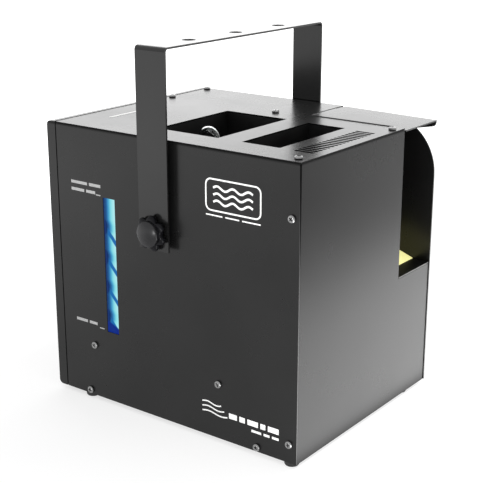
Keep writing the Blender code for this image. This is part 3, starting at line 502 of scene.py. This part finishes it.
def add_plate(mesh, outline, matrix, low, high, edge=0.0):
    """Add a flat plate with an outline in the matrix's XY plane, its upper edge chamfered."""
    flat = [Vector(point) for point in outline]
    centre = sum(flat, Vector((0.0, 0.0))) / len(flat)
    levels = [(flat, low), (flat, high - edge)]
    if edge:
        levels.append(([point - (point - centre).normalized() * edge for point in flat], high))
    loft(mesh, [[matrix @ Vector((*point, height)) for point in level] for level, height in levels])


def add_block(mesh, matrix, centre, half, radius, low, high, edge=0.0, steps=5):
    """Add a plate with a rounded rectangle's outline, given by its centre and half sizes."""
    (x, y), (w, h) = centre, half
    add_plate(mesh, rounded_outline((x - w, y - h), (x + w, y + h), radius, steps), matrix, low, high, edge)


def add_ring(mesh, profile, matrix, sides):
    """Add a turned ring: profile lists (radius, height) round the ring's own section."""
    rings = [[matrix @ Vector((x, y, height)) for x, y in circle(radius, sides)]
             for radius, height in profile + profile[:1]]
    loft(mesh, rings, cap_ends=False)
    bmesh.ops.remove_doubles(mesh, verts=mesh.verts, dist=1e-7)


def tube_mesh(points, outer, inner, sides):
    """A hollow tube along a route."""
    mesh = bmesh.new()
    side = (points[1] - points[0]).orthogonal().normalized()
    stations = []
    for k, point in enumerate(points):
        ahead = (points[min(k + 1, len(points) - 1)] - points[max(k - 1, 0)]).normalized()
        side = (side - ahead * side.dot(ahead)).normalized()
        stations.append((point, side, ahead.cross(side)))

    def shell(radius):
        return [[point + x * side + y * up for x, y in circle(radius, sides)] for point, side, up in stations]

    outside = loft(mesh, shell(outer), cap_ends=False)
    inside = loft(mesh, shell(inner), cap_ends=False)
    bridge(mesh, outside[0], inside[0])
    bridge(mesh, outside[-1], inside[-1])
    return mesh


def smooth_route(stops, spacing):
    """Points on a smooth curve through a few stops."""
    stops = [Vector(p) for p in stops]
    ends = [2 * stops[0] - stops[1]] + stops + [2 * stops[-1] - stops[-2]]
    route = []
    for a, b, c, d in zip(ends, ends[1:], ends[2:], ends[3:]):
        steps = max(2, round((c - b).length / spacing))
        for k in range(steps):
            t = k / steps
            route.append(0.5 * (2 * b + (c - a) * t + (2 * a - 5 * b + 4 * c - d) * t ** 2
                                + (3 * b - a - 3 * c + d) * t ** 3))
    return route + [stops[-1]]


def carved(base, tool):
    """Mesh data of one bmesh with another cut out of it."""
    things = [new_object("carving", mesh) for mesh in (base, tool)]
    cut = things[0].modifiers.new("cut", "BOOLEAN")
    cut.operation = "DIFFERENCE"
    cut.solver = "EXACT"
    cut.object = things[1]
    graph = bpy.context.evaluated_depsgraph_get()
    data = bpy.data.meshes.new_from_object(things[0].evaluated_get(graph))
    for thing in things:
        bpy.data.objects.remove(thing, do_unlink=True)
    return data


# ---- screws ---------------------------------------------------------------------------------------
def phillips_head(radius, height):
    """Pan head with a tapered cross recess, standing on z = 0."""
    head = bmesh.new()
    dome = [(0.0, -0.0008), (radius * 0.48, -0.0008), (radius * 0.48, 0.0), (radius * 0.97, 0.0),
            (radius, height * 0.08)]
    steps = 8
    for k in range(steps):
        t = math.radians(90.0 * k / steps)
        dome.append((radius * (0.62 + 0.38 * math.cos(t)), height * (0.42 + 0.58 * math.sin(t))))
    dome += [(radius * 0.5, height * 0.995), (0.0, height)]
    add_turned(head, dome, Matrix.Identity(4), 32)
    cross = bmesh.new()
    rings = []
    for z, arm, width in ((height * 0.22, radius * 0.26, radius * 0.07),
                          (height + 0.001, radius * 0.70, radius * 0.20)):
        outline = [(arm, -width), (arm, width), (width, width)]
        for quarter in range(3):
            outline += [(-y, x) for x, y in outline[-3:]]
        rings.append([Vector((x, y, z)) for x, y in outline])
    loft(cross, rings)
    return carved(head, cross)


def place_heads(name, data, seats, replaces=None):
    """One piece made of heads at the given matrices."""
    mesh = bmesh.new()
    for matrix in seats:
        start = len(mesh.verts)
        mesh.from_mesh(data)
        mesh.verts.ensure_lookup_table()
        bmesh.ops.transform(mesh, matrix=matrix, verts=mesh.verts[start:])
    thing = new_piece(name, mesh, "screw_steel", "case", 32.0)
    if replaces:
        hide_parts(replaces)


def screw_seat(spot, axis, sign, number):
    """Seat of a head that faces plus or minus an axis; each screw stops at its own angle."""
    turn = Matrix.Rotation(math.radians(37.0 * number + 11.0), 4, "Z")
    return Matrix.Translation(spot) @ axis_frame(axis, sign) @ turn


# Screws that the CAD doesn't have: (x, z) on the far side, (y, z) on the rear, (x, y) underneath.
FAR_SCREWS = ((-0.285, 0.010), (-0.285, 0.120), (-0.285, 0.285), (-0.160, 0.010), (-0.020, 0.010),
              (-0.020, 0.118), (-0.125, 0.285))
REAR_SCREWS = [(y, z) for z in (0.012, 0.290) for y in (0.010, 0.127, 0.244)]
REAR_SCREWS += [(y, 0.150) for y in (0.010, 0.244)]
UNDER_SCREWS = ((-0.040, 0.060), (-0.040, 0.190), (-0.150, 0.030), (-0.150, 0.220), (-0.250, 0.060),
                (-0.250, 0.190))
HEAD_PROUD = 0.0002


def make_screws():
    """Detailed heads in place of the CAD screws, and the ones on the hidden sides."""
    low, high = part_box("side_screw_1")
    data = phillips_head((high.x - low.x) / 2.0, NEAR - low.y)
    for k in range(1, 7):
        node = "side_screw_%d" % k
        spot = middle(node)
        spot.y = NEAR - HEAD_PROUD
        place_heads("phillips_side_%d" % k, data, [screw_seat(spot, "Y", -1, k)], node)
    for k in range(1, 6):
        node = "top_screw_%d" % k
        spot = middle(node)
        spot.z = TOP + HEAD_PROUD
        place_heads("phillips_top_%d" % k, data, [screw_seat(spot, "Z", 1, k + 6)], node)
    place_heads("phillips_far_side", data, [screw_seat((FRONT + x, FAR, BOTTOM + z), "Y", 1, k)
                                            for k, (x, z) in enumerate(FAR_SCREWS)])
    place_heads("phillips_rear", data, [screw_seat((REAR, NEAR + y, BOTTOM + z), "X", -1, k)
                                        for k, (y, z) in enumerate(REAR_SCREWS)])
    place_heads("phillips_under", data, [screw_seat((FRONT + x, NEAR + y, BOTTOM), "Z", -1, k)
                                         for k, (x, y) in enumerate(UNDER_SCREWS)])


# ---- knobs ----------------------------------------------------------------------------------------
KNOB_LOBES = 7
KNOB_PHASE = math.radians(32.0)
# (height, radius, lobe depth) of the fluted body, from the hub's seat to the disc's foot.
STAR_PROFILE = ((0.0, 0.0088, 0.0), (0.0003, 0.0094, 0.0), (0.0009, 0.0094, 0.0), (0.0010, 0.0112, 0.0004),
                (0.0012, 0.0140, 0.0012), (0.0015, 0.0152, 0.0017), (0.0021, 0.0161, 0.0020),
                (0.0029, 0.0166, 0.0021), (0.0040, 0.0167, 0.0021), (0.0051, 0.0166, 0.0021),
                (0.0059, 0.0162, 0.0020), (0.0065, 0.0156, 0.0017), (0.0068, 0.0147, 0.0010),
                (0.0070, 0.0136, 0.0003), (0.0071, 0.0115, 0.0))
STUD_PROFILE = ((0.0, -0.019), (0.0034, -0.019), (0.0038, -0.018), (0.0038, 0.0005), (0.0, 0.0005))
DISC_FOOT, DISC_RADIUS, CROWN_RADIUS = 0.0066, 0.0132, 0.0122
DISC_SHOULDER, CROWN_RISE = 0.0030, 0.0020


def make_knob(node, side):
    """Star knob: a fluted glossy body on its stud, behind a smooth round disc."""
    low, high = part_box(node)
    pivot = Vector(JOINTS[node + "_turn"]["pos_m"])
    depth = abs((high.y if side > 0 else low.y) - pivot.y)
    mesh = bmesh.new()
    sides = KNOB_LOBES * 18
    rings = []
    for height, radius, lobe in STAR_PROFILE:
        ring = []
        for k in range(sides):
            t = 2.0 * math.pi * k / sides
            turn = KNOB_LOBES * (t - KNOB_PHASE)
            r = radius + lobe * (math.cos(turn) - 0.16 * math.cos(2.0 * turn) + 0.08)
            ring.append(pivot + Vector((r * math.cos(t), side * height, r * math.sin(t))))
        rings.append(ring)
    loft(mesh, rings)
    seat = Matrix.Translation(pivot) @ axis_frame("Y", side)
    add_turned(mesh, STUD_PROFILE, seat, 24)
    knob = new_piece(node + "_star", mesh, "knob_plastic", node, 50.0)
    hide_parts(node)
    mesh = bmesh.new()
    shoulder = depth - DISC_SHOULDER
    profile = [(0.0, DISC_FOOT), (DISC_RADIUS - 0.0004, DISC_FOOT), (DISC_RADIUS, DISC_FOOT + 0.0008),
               (DISC_RADIUS, shoulder)]
    for k in range(5):
        t = math.radians(14.0 * k)
        profile.append((CROWN_RADIUS + (DISC_RADIUS - CROWN_RADIUS) * math.cos(t),
                        shoulder + 0.0009 * math.sin(t)))
    steps = 10
    for k in range(steps + 1):
        share = 1.0 - k / steps
        profile.append((CROWN_RADIUS * share, depth - CROWN_RISE * share ** 2))
    add_turned(mesh, profile, seat, 64)
    new_piece(node + "_disc", mesh, "knob_disc", node, 35.0)


# ---- level window and marks -----------------------------------------------------------------------
def make_level_window():
    """Tub with a rounded rim behind the side panel's window."""
    low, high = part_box("level_window")
    front, back, seat = low.y, high.y, NEAR + WINDOW_SUNK
    mesh = bmesh.new()

    def ring(inset, y, radius):
        """The window's outline at a depth, drawn in from the opening's edge."""
        inset += WINDOW_RIM
        outline = rounded_outline((low.x + inset, low.z + inset), (high.x - inset, high.z - inset), radius, 4)
        return [Vector((x, y, z)) for x, z in outline]

    skirt = 0.0002 - WINDOW_RIM
    loft(mesh, [ring(skirt, back, 0.001), ring(skirt, front, 0.001), ring(0.0001, front, 0.0004),
                ring(0.0001, seat - 0.0016, 0.0004), ring(0.0006, seat - 0.0004, 0.0006),
                ring(0.0018, seat, 0.0010)])
    tub = new_piece("level_window_tub", mesh, "lit_blue", "case", 60.0)
    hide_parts("level_window")


INK_SEAT, INK_FACE = NEAR - 0.00004, NEAR - 0.00012


def stroke(mesh, points, width, closed=False):
    """Add one flat inked line on the near side, through (x, z) points."""
    count = len(points)
    left, right = [], []
    for k, point in enumerate(points):
        before = points[k - 1] if (k or closed) else point
        after = points[(k + 1) % count] if (k < count - 1 or closed) else point
        along = (Vector(after) - Vector(before)).normalized()
        across = Vector((-along.y, along.x)) * width / 2.0
        left.append(Vector(point) + across)
        right.append(Vector(point) - across)
    low_l, low_r, high_l, high_r = [[mesh.verts.new((p.x, y, p.y)) for p in line]
                                    for y in (INK_SEAT, INK_FACE) for line in (left, right)]
    for k in range(count if closed else count - 1):
        n = (k + 1) % count
        mesh.faces.new((high_l[k], high_l[n], high_r[n], high_r[k]))
        mesh.faces.new((low_l[k], low_r[k], low_r[n], low_l[n]))
        mesh.faces.new((low_l[k], low_l[n], high_l[n], high_l[k]))
        mesh.faces.new((low_r[k], high_r[k], high_r[n], low_r[n]))
    if not closed:
        for k in (0, count - 1):
            mesh.faces.new((low_l[k], high_l[k], high_r[k], low_r[k]))


def bar(mesh, start, end, z, width):
    """Add one straight level inked line."""
    stroke(mesh, [(start, z), (end, z)], width)


def wave(start, end, z, height, turns):
    """Points of a wavy line."""
    steps = 40
    return [(start + (end - start) * k / steps, z + height * math.sin(2.0 * math.pi * turns * k / steps))
            for k in range(steps + 1)]


def make_side_marks():
    """Generic printed marks on the near side: haze waves in a frame, and two rows of plain bars."""
    mesh = bmesh.new()
    left, right = FRONT - 0.109, FRONT - 0.044
    low, high = BOTTOM + 0.240, BOTTOM + 0.271
    stroke(mesh, rounded_outline((left, low), (right, high), 0.006, 6), 0.0016, closed=True)
    for k in range(3):
        stroke(mesh, wave(left + 0.009, right - 0.009, low + 0.0085 + 0.0070 * k, 0.0019, 2.5), 0.0021)
    for start, end in ((0.000, 0.020), (0.0235, 0.040), (0.0435, 0.065)):
        bar(mesh, left + start, left + end, low - 0.0048, 0.0013)
    left, base = FRONT - 0.116, BOTTOM + 0.026
    for k in range(3):
        stroke(mesh, wave(left, left + 0.024 + 0.004 * k, base + 0.0105 - 0.0052 * k, 0.0012, 1.0), 0.0014)
    for start, width in ((0.034, 0.010), (0.047, 0.007), (0.057, 0.013), (0.073, 0.006), (0.082, 0.013)):
        bar(mesh, left + start, left + start + width, base + 0.003, 0.0058)
    for start, width in ((0.062, 0.012), (0.077, 0.007), (0.087, 0.008)):
        bar(mesh, left + start, left + start + width, base - 0.0050, 0.0026)
    new_piece("side_marks", mesh, "white_ink", "case", 0.0)


LEVEL_TICKS = ((-0.2526, 0.2304), (-0.2540, 0.0820))
LEVEL_ROWS = ((-0.2907, -0.2487, 0.2400), (-0.2907, -0.2564, 0.2322), (-0.2915, -0.2605, 0.0855))


def make_level_marks():
    """Ticks and rows of two plain bars for the highest and the lowest level beside the window."""
    mesh = bmesh.new()
    for x, z in LEVEL_TICKS:
        bar(mesh, FRONT + x - 0.0030, FRONT + x + 0.0036, BOTTOM + z, 0.0011)
    for start, end, z in LEVEL_ROWS:
        gap = start + 0.58 * (end - start)
        for left, right in ((start, gap - 0.0014), (gap + 0.0014, end)):
            bar(mesh, FRONT + left, FRONT + right, BOTTOM + z, 0.0032)
    new_piece("level_marks", mesh, "grey_ink", "case", 0.0)


def make_top_label():
    """Blank white strip stuck on the top near the rear."""
    mesh = bmesh.new()
    outline = rounded_outline((FRONT - 0.2812, NEAR + 0.050), (FRONT - 0.2768, NEAR + 0.108), 0.0006, 3)
    add_plate(mesh, outline, Matrix.Translation((0, 0, TOP)), 0.00003, 0.00015)
    new_piece("top_label", mesh, "paper", "case", 0.0)


def make_hood_gap_shade():
    """Low dark strip in the rubber finish on the top sheet's edge beside the hood: painted shadow of the gap
    between the hood and the top sheet.
    """
    mesh = bmesh.new()
    y, z = NEAR + 0.1868, TOP
    profile = [(-0.0009, 0.00002), (0.0009, 0.00002), (0.0009, 0.0004), (0.0005, 0.0007), (-0.0005, 0.0007),
               (-0.0009, 0.0004)]
    ends = (FRONT - 0.111, FRONT - 0.012)
    loft(mesh, [[Vector((x, y + across, z + rise)) for across, rise in profile] for x in ends])
    new_piece("hood_gap_shade", mesh, "rubber", "case", 0.0)


# ---- wells, hose and cap --------------------------------------------------------------------------
ARCH = {"x": -0.168, "y": 0.080, "radius": 0.011, "hose": 0.003}


def pickup_stops():
    """Route of the clear hose, as in the CAD: up from the tank, over the arch and down to the pump."""
    radius, y = ARCH["radius"], ARCH["y"]
    left, right = ARCH["x"] - radius, ARCH["x"] + radius
    arch_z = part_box("pickup_hose")[1].z - BOTTOM - ARCH["hose"] - radius
    stops = [(left, y, 0.2223), (left, y, 0.240), (left, y, 0.265)]
    for k in range(13):
        t = math.radians(180.0 - 15.0 * k)
        stops.append((ARCH["x"] + radius * math.cos(t), y, arch_z + radius * math.sin(t)))
    stops += [(right, y, 0.265), (right, y, 0.2480), (right, y, 0.2380), (-0.1540, y, 0.2310),
              (-0.1470, y, 0.2282), (-0.1380, y, 0.2272), (-0.124, y, 0.2235), (-0.1165, y, 0.210),
              (-0.116, y, 0.150), (-0.116, 0.072, 0.080), (-0.121, 0.056, 0.044),
              (-0.1195, 0.050, 0.030), (-0.1125, 0.050, 0.0275)]
    return [case(*stop) for stop in stops]


def make_pickup_hose():
    """Clear hose with a real wall, in place of the CAD tube, and the grommets in the well's floor."""
    route = smooth_route(pickup_stops(), 0.0035)
    mesh = tube_mesh(route, ARCH["hose"], 0.0021, 18)
    tube = new_piece("pickup_hose_clear", mesh, "clear_hose", "case", 60.0)
    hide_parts("pickup_hose")
    mesh = bmesh.new()
    for side in (-1, 1):
        seat = Matrix.Translation(case(ARCH["x"] + side * ARCH["radius"], ARCH["y"], 0.2412))
        add_ring(mesh, [(0.0031, 0.0), (0.0062, 0.0), (0.0062, 0.0012), (0.0052, 0.0022),
                        (0.0034, 0.0024), (0.0031, 0.0022)], seat, 24)
    new_piece("hose_grommets", mesh, "rubber", "case")


def make_tank_cap():
    """Ribbed screw cap with a raised rim and a moulded grip bar."""
    low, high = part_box("tank_cap")
    centre = middle("tank_cap")
    radius, height = (high.x - low.x) / 2.0, high.z - low.z
    ribs, per = 36, 4
    sides = ribs * per
    mesh = bmesh.new()

    def ring(r, z, deep):
        points = []
        for k in range(sides):
            t = 2.0 * math.pi * k / sides
            reach = r - (deep if k % per in (0, 1) else 0.0)
            points.append(Vector((centre.x + reach * math.cos(t), centre.y + reach * math.sin(t), low.z + z)))
        return points

    bore = 0.0196
    rings = [ring(bore, height - 0.004, 0.0), ring(bore, 0.0, 0.0), ring(radius - 0.0004, 0.0, 0.0),
             ring(radius, 0.0006, 0.0007), ring(radius, height - 0.0030, 0.0007),
             ring(radius - 0.0008, height - 0.0014, 0.0002), ring(radius - 0.0022, height - 0.0006, 0.0),
             ring(radius - 0.0040, height - 0.0006, 0.0), ring(radius - 0.0046, height - 0.0016, 0.0),
             ring(0.0030, height - 0.0016, 0.0)]
    loft(mesh, rings)
    seat = Matrix.Translation((centre.x, centre.y, low.z + height - 0.0016))
    add_block(mesh, seat, (0.0, 0.0), (0.014, 0.0025), 0.002, -0.0004, 0.0015, 0.0005)
    cap = new_piece("tank_cap_ribbed", mesh, "black_plastic", "tank_cap")
    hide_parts("tank_cap")


# ---- fan ------------------------------------------------------------------------------------------
def make_fan_rotor():
    """Hub with seven twisted, swept blades."""
    low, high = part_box("fan_rotor")
    pivot = Vector(JOINTS["fan_spin"]["pos_m"])
    depth = high.x - low.x
    hub, tip, blades, thick = 0.0118, 0.0262, 7, 0.0007
    mesh = bmesh.new()
    seat = Matrix.Translation((low.x, pivot.y, pivot.z)) @ axis_frame("X", 1)
    add_turned(mesh, [(0.0, 0.0), (hub, 0.0), (hub, depth - 0.0012), (hub - 0.0012, depth), (0.0, depth)],
               seat, 40)
    steps = 6
    for b in range(blades):
        rings = []
        for k in range(steps + 1):
            s = k / steps
            radius = hub * 0.94 + (tip - hub * 0.94) * s
            sweep = 2.0 * math.pi * b / blades + math.radians(16.0) * s
            pitch = math.radians(52.0 - 24.0 * s)
            chord = 0.0070 + 0.0020 * s
            ring = []
            for u, v in ((-1, -1), (0, -1.6), (1, -1), (1, 1), (0, 0.4), (-1, 1)):
                along = u * chord / 2.0
                angle = sweep + along * math.cos(pitch) / radius * 1.6
                x = depth / 2.0 + along * math.sin(pitch) * 1.5 + v * thick / 2.0
                x = min(max(x, 0.0004), depth - 0.0004)
                ring.append(seat @ Vector((radius * math.cos(angle), radius * math.sin(angle), x)))
            rings.append(ring)
        loft(mesh, rings)
    rotor = new_piece("fan_rotor_blades", mesh, "black_plastic", "fan_rotor")
    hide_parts("fan_rotor")


# ---- rear panel -----------------------------------------------------------------------------------
def rear_plane(x):
    """Matrix of a plane that faces out of the rear: its X runs along -Y, its Y up, its Z along -X."""
    return Matrix(((0, 0, -1, x), (-1, 0, 0, 0), (0, 1, 0, 0), (0, 0, 0, 1)))


# Lower and upper level of print and of labels over the face that they lie on.
PRINT = (0.00002, 0.0001)
LABEL = (0.00003, 0.00025)
DIGIT_PITCH, SEGMENT_REACH = 0.011, 0.0031


def make_display_face():
    """Screen glass in the bezel, with four lit generic digits."""
    centre = middle("display")
    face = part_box("display")[0].x + 0.0012
    mesh = bmesh.new()
    add_block(mesh, rear_plane(face), (-centre.y, centre.z), (0.0277, 0.0117), 0.001, 0.00002, 0.0007)
    new_piece("display_glass", mesh, "screen_glass", "case", 30.0)
    mesh = bmesh.new()
    plane = rear_plane(face - 0.0007)
    lying, standing = (0.0022, 0.0005), (0.0005, 0.0022)
    segments = [(0.0, rise, lying) for rise in (2.0 * SEGMENT_REACH, 0.0, -2.0 * SEGMENT_REACH)]
    segments += [(side, rise, standing) for rise in (SEGMENT_REACH, -SEGMENT_REACH)
                 for side in (-0.0032, 0.0032)]
    for k in range(4):
        for across, rise, half in segments:
            if k % 2 and rise == 0.0:
                continue
            spot = (-centre.y + DIGIT_PITCH * (k - 1.5) + across, centre.z + rise)
            add_block(mesh, plane, spot, half, 0.0004, 0.00002, 0.00012, steps=2)
    new_piece("display_digits", mesh, "digit_glow", "case", 0.0)


def make_rear_marks():
    """Generic printed marks on the rear: a sign under each button and two bars over each fitting."""
    mesh = bmesh.new()
    plane = rear_plane(REAR)
    size = 0.0022
    shapes = {
        "menu": [(-size, -size), (size, -size), (size, size), (-size, size)],
        "up": [(-size, -size), (size, -size), (0.0, size)],
        "down": [(-size, size), (0.0, -size), (size, size)],
        "enter": circle(size, 16),
    }
    for name, outline in shapes.items():
        spot = middle("button_" + name)
        shifted = [(-spot.y + x, spot.z - 0.0105 + z) for x, z in outline]
        add_plate(mesh, shifted, plane, *PRINT)
    for node in ("dmx_in", "dmx_out", "power_inlet", "power_switch_frame"):
        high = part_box(node)[1]
        left, low, top = -high.y, high.z + 0.0035, high.z + 0.0050
        for start, end in ((left, left + 0.008), (left + 0.010, left + 0.015)):
            add_plate(mesh, [(start, low), (end, low), (end, top), (start, top)], plane, *PRINT)
    new_piece("rear_marks", mesh, "white_ink", "case", 0.0)


def make_rating_plate():
    """Silver rating plate with blank ruled lines."""
    mesh = bmesh.new()
    y, z = -(NEAR + 0.150), BOTTOM + 0.120
    add_block(mesh, rear_plane(REAR), (y, z), (0.032, 0.022), 0.003, *LABEL)
    new_piece("rating_plate", mesh, "aluminium", "case", 0.0)
    mesh = bmesh.new()
    for k in range(4):
        left, right = y - 0.027, y + 0.027 - 0.009 * (k % 2)
        low = z + 0.013 - 0.0085 * k
        high = low + 0.0007
        add_plate(mesh, [(left, low), (right, low), (right, high), (left, high)],
                  rear_plane(REAR - LABEL[1]), 0.00002, 0.00008)
    new_piece("rating_lines", mesh, "black_plastic", "case", 0.0)


def make_inlet_parts():
    """Blades in the mains inlet and its fixing screws."""
    centre = middle("power_inlet")
    floor = rear_plane(REAR + 0.0165)
    mesh = bmesh.new()
    for across, rise in ((-0.007, -0.002), (0.007, -0.002), (0.0, 0.0022)):
        add_block(mesh, floor, (-centre.y + across, centre.z + rise), (0.001, 0.002), 0.0004, 0.0, 0.0135,
                  0.0004, steps=2)
    new_piece("inlet_blades", mesh, "nickel", "case")
    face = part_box("power_inlet")[0].x
    place_heads("inlet_screws", phillips_head(0.0027, 0.0014),
                [screw_seat((face, centre.y + side * 0.0205, centre.z), "X", -1, k)
                 for k, side in enumerate((-1, 1))])


CONTACT_CIRCLE = 0.0042


def contact_seats(node, x, start):
    """Seats of a data socket's three contacts, a quarter turn apart on a circle."""
    centre = middle(node)
    seats = []
    for k in range(3):
        t = math.radians(start + 90.0 * k)
        spot = (x, centre.y + CONTACT_CIRCLE * math.cos(t), centre.z + CONTACT_CIRCLE * math.sin(t))
        seats.append(Matrix.Translation(spot) @ axis_frame("X", -1))
    return seats


def make_socket_parts():
    """Pins of the sunk data socket; contact rims and latch of the other; screws of both."""
    mesh = bmesh.new()
    for seat in contact_seats("dmx_in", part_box("dmx_in")[0].x + 0.012, -180.0):
        add_turned(mesh, [(0.0, 0.0), (0.0012, 0.0), (0.0012, 0.0096), (0.0007, 0.0104), (0.0, 0.0105)],
                   seat, 16)
    new_piece("data_pins", mesh, "nickel", "case")
    mesh = bmesh.new()
    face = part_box("dmx_out")[0].x + 0.0014
    for seat in contact_seats("dmx_out", face, 0.0):
        loft(mesh, [[seat @ Vector((x, y, height)) for x, y in circle(radius, 20)] for radius, height in
                    ((0.0011, -0.0001), (0.0011, 0.0006), (0.0016, 0.0006), (0.0018, -0.0001))])
    centre = middle("dmx_out")
    add_block(mesh, rear_plane(face), (-centre.y, centre.z + 0.0082), (0.0022, 0.0025), 0.0008, 0.0, 0.0012,
              0.0004)
    new_piece("data_socket_face", mesh, "nickel", "case")
    seats = []
    for node in ("dmx_in", "dmx_out"):
        low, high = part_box(node)
        for y, z in ((low.y + 0.0032, high.z - 0.0032), (high.y - 0.0032, low.z + 0.0032)):
            seats.append(screw_seat((low.x, y, z), "X", -1, len(seats)))
    place_heads("socket_screws", phillips_head(0.0022, 0.0011), seats)


def make_rocker_marks():
    """Line and ring printed on the rocker's two sloping faces."""
    centre = middle("power_rocker")
    joint = Vector(JOINTS["power_rocker_tilt"]["pos_m"])
    tilt = Matrix.Translation(joint) @ Matrix.Rotation(math.radians(8.0), 4, "Y") @ Matrix.Translation(-joint)
    slope = math.atan2(0.0020, 0.0124)

    def face(side):
        """Plane of the upper (1) or the lower (-1) face."""
        spot = (joint.x - 0.0032, centre.y, joint.z + side * 0.0062)
        return tilt @ Matrix.Translation(spot) @ Matrix.Rotation(side * slope, 4, "Y") @ rear_plane(0.0)

    mesh = bmesh.new()
    add_block(mesh, face(1), (0.0, 0.0), (0.0005, 0.0028), 0.0004, -0.0001, 0.00012, steps=2)
    add_ring(mesh, [(0.0019, -0.0001), (0.0019, 0.00012), (0.0028, 0.00012), (0.0028, -0.0001)], face(-1), 28)
    new_piece("rocker_marks", mesh, "white_ink", "power_rocker", 0.0)


# ---- CAD nodes that stay --------------------------------------------------------------------------
NODE_FINISH = {
    "case_coat": ("side_panel_near", "side_panel_far", "rear_panel"),
    "front_coat": ("front_panel",),
    "top_coat": ("top_panel",),
    "powder_coat": ("base_pan", "hood", "hood_hinge_leaf", "hood_hinge_pin"),
    "yoke_coat": ("yoke",),
    "inner_sheet": ("filling_well", "intake_well", "outlet_channel", "channel_floor"),
    "yellow_label": ("caution_label",),
    "rubber": ("pivot_spacer_near", "pivot_spacer_far", "foot_rear_near", "foot_rear_far",
               "foot_front_near", "foot_front_far"),
    "board_green": ("level_light", "control_board"),
    "tank_plastic": ("fluid_tank",),
    "clear_hose": ("pump_hose",),
    "galvanised": ("fluid_pump", "power_supply"),
    "aluminium": ("heater_block",),
    "brass": ("haze_nozzle",),
    "black_plastic": ("fan_frame", "display", "power_switch_frame", "power_inlet", "dmx_in", "dmx_out"),
    "button_grey": ("button_menu", "button_up", "button_down", "button_enter"),
    "switch_red": ("power_rocker",),
}
EDGES = {"powder_coat": 0.00025, "case_coat": 0.00025, "front_coat": 0.00025, "top_coat": 0.00025,
         "yoke_coat": 0.0004, "inner_sheet": 0.0003, "black_plastic": 0.0004, "rubber": 0.0006,
         "switch_red": 0.0005, "galvanised": 0.0004, "button_grey": 0.0003}


def finish_cad_nodes():
    """Materials and rounded edges for the CAD nodes that stay in view."""
    for finish, names in NODE_FINISH.items():
        for name in names:
            node = NODES[name]
            if not node.material_slots:
                node.data.materials.append(None)
            for slot in node.material_slots:
                slot.material = MATERIALS[finish]
            if finish in EDGES:
                add_bevel(node, EDGES[finish])


# ---- stage ----------------------------------------------------------------------------------------
CAMERA_FROM_CORNER = Vector((0.5498, -0.8182, 0.5356))
CAMERA_AZIMUTH = math.radians(36.98)
CAMERA_ELEVATION = math.radians(17.375)
CAMERA_LENS = 84.53
SURROUNDINGS = 1.02
PANEL_AWAY, PANEL_UP, PANEL_SIZE, PANEL_RADIANCE = 2.2, 0.75, (3.2, 1.3), 1.60
LAMP_AWAY, LAMP_SIZE, LAMP_RADIANCE, LAMP_SPREAD = Vector((-0.15, -1.2, -0.12)), (0.07, 0.07), 12.0, 60.0


def make_camera():
    """Camera at the picture's viewing angle."""
    camera = bpy.data.objects.new("camera", bpy.data.cameras.new("camera"))
    camera.data.lens = CAMERA_LENS
    camera.data.sensor_width = 36.0
    ahead = Vector((-math.sin(CAMERA_AZIMUTH) * math.cos(CAMERA_ELEVATION),
                    math.cos(CAMERA_AZIMUTH) * math.cos(CAMERA_ELEVATION), -math.sin(CAMERA_ELEVATION)))
    camera.location = CORNER + CAMERA_FROM_CORNER
    camera.rotation_mode = "QUATERNION"
    camera.rotation_quaternion = ahead.to_track_quat("-Z", "Y")
    bpy.context.scene.collection.objects.link(camera)
    bpy.context.scene.camera = camera


def make_floor():
    """Wide pale floor with a painted glow."""
    mesh = bmesh.new()
    bmesh.ops.create_grid(mesh, x_segments=1, y_segments=1, size=30.0)
    floor = new_object("floor", mesh)
    floor.data.materials.append(pale_floor())


def area_light(name, place, target, size, radiance, spread=180.0):
    """A soft rectangular light of a given radiance, hidden from the camera."""
    data = bpy.data.lights.new(name, "AREA")
    data.shape = "RECTANGLE"
    data.size, data.size_y = size
    data.energy = radiance * math.pi * size[0] * size[1]
    data.spread = math.radians(spread)
    light = bpy.data.objects.new(name, data)
    light.location = place
    light.rotation_mode = "QUATERNION"
    light.rotation_quaternion = (target - place).to_track_quat("-Z", "Y")
    light.visible_camera = False
    bpy.context.scene.collection.objects.link(light)


def make_light():
    """White surroundings, a bright panel behind the top, and a small lamp for the near knob's gleam."""
    world = bpy.data.worlds.new("studio")
    world.use_nodes = True
    background = world.node_tree.nodes["Background"]
    background.inputs["Color"].default_value = (1.0, 1.0, 1.0, 1.0)
    background.inputs["Strength"].default_value = SURROUNDINGS
    bpy.context.scene.world = world
    centre = Vector((0.0, 0.0, TOP))
    back = Vector((-math.sin(CAMERA_AZIMUTH), math.cos(CAMERA_AZIMUTH), 0.0))
    place = centre + back * PANEL_AWAY + Vector((0.0, 0.0, PANEL_UP))
    area_light("back_panel", place, centre, PANEL_SIZE, PANEL_RADIANCE)
    knob = middle("knob_near")
    area_light("knob_lamp", knob + LAMP_AWAY, knob, LAMP_SIZE, LAMP_RADIANCE, LAMP_SPREAD)


bpy.context.scene.view_settings.view_transform = "Standard"
make_camera()
make_floor()
make_light()
finish_cad_nodes()
make_screws()
make_knob("knob_near", -1)
make_knob("knob_far", 1)
make_level_window()
make_side_marks()
make_level_marks()
make_top_label()
make_hood_gap_shade()
make_pickup_hose()
make_tank_cap()
make_fan_rotor()
make_display_face()
make_rear_marks()
make_rating_plate()
make_inlet_parts()
make_socket_parts()
make_rocker_marks()
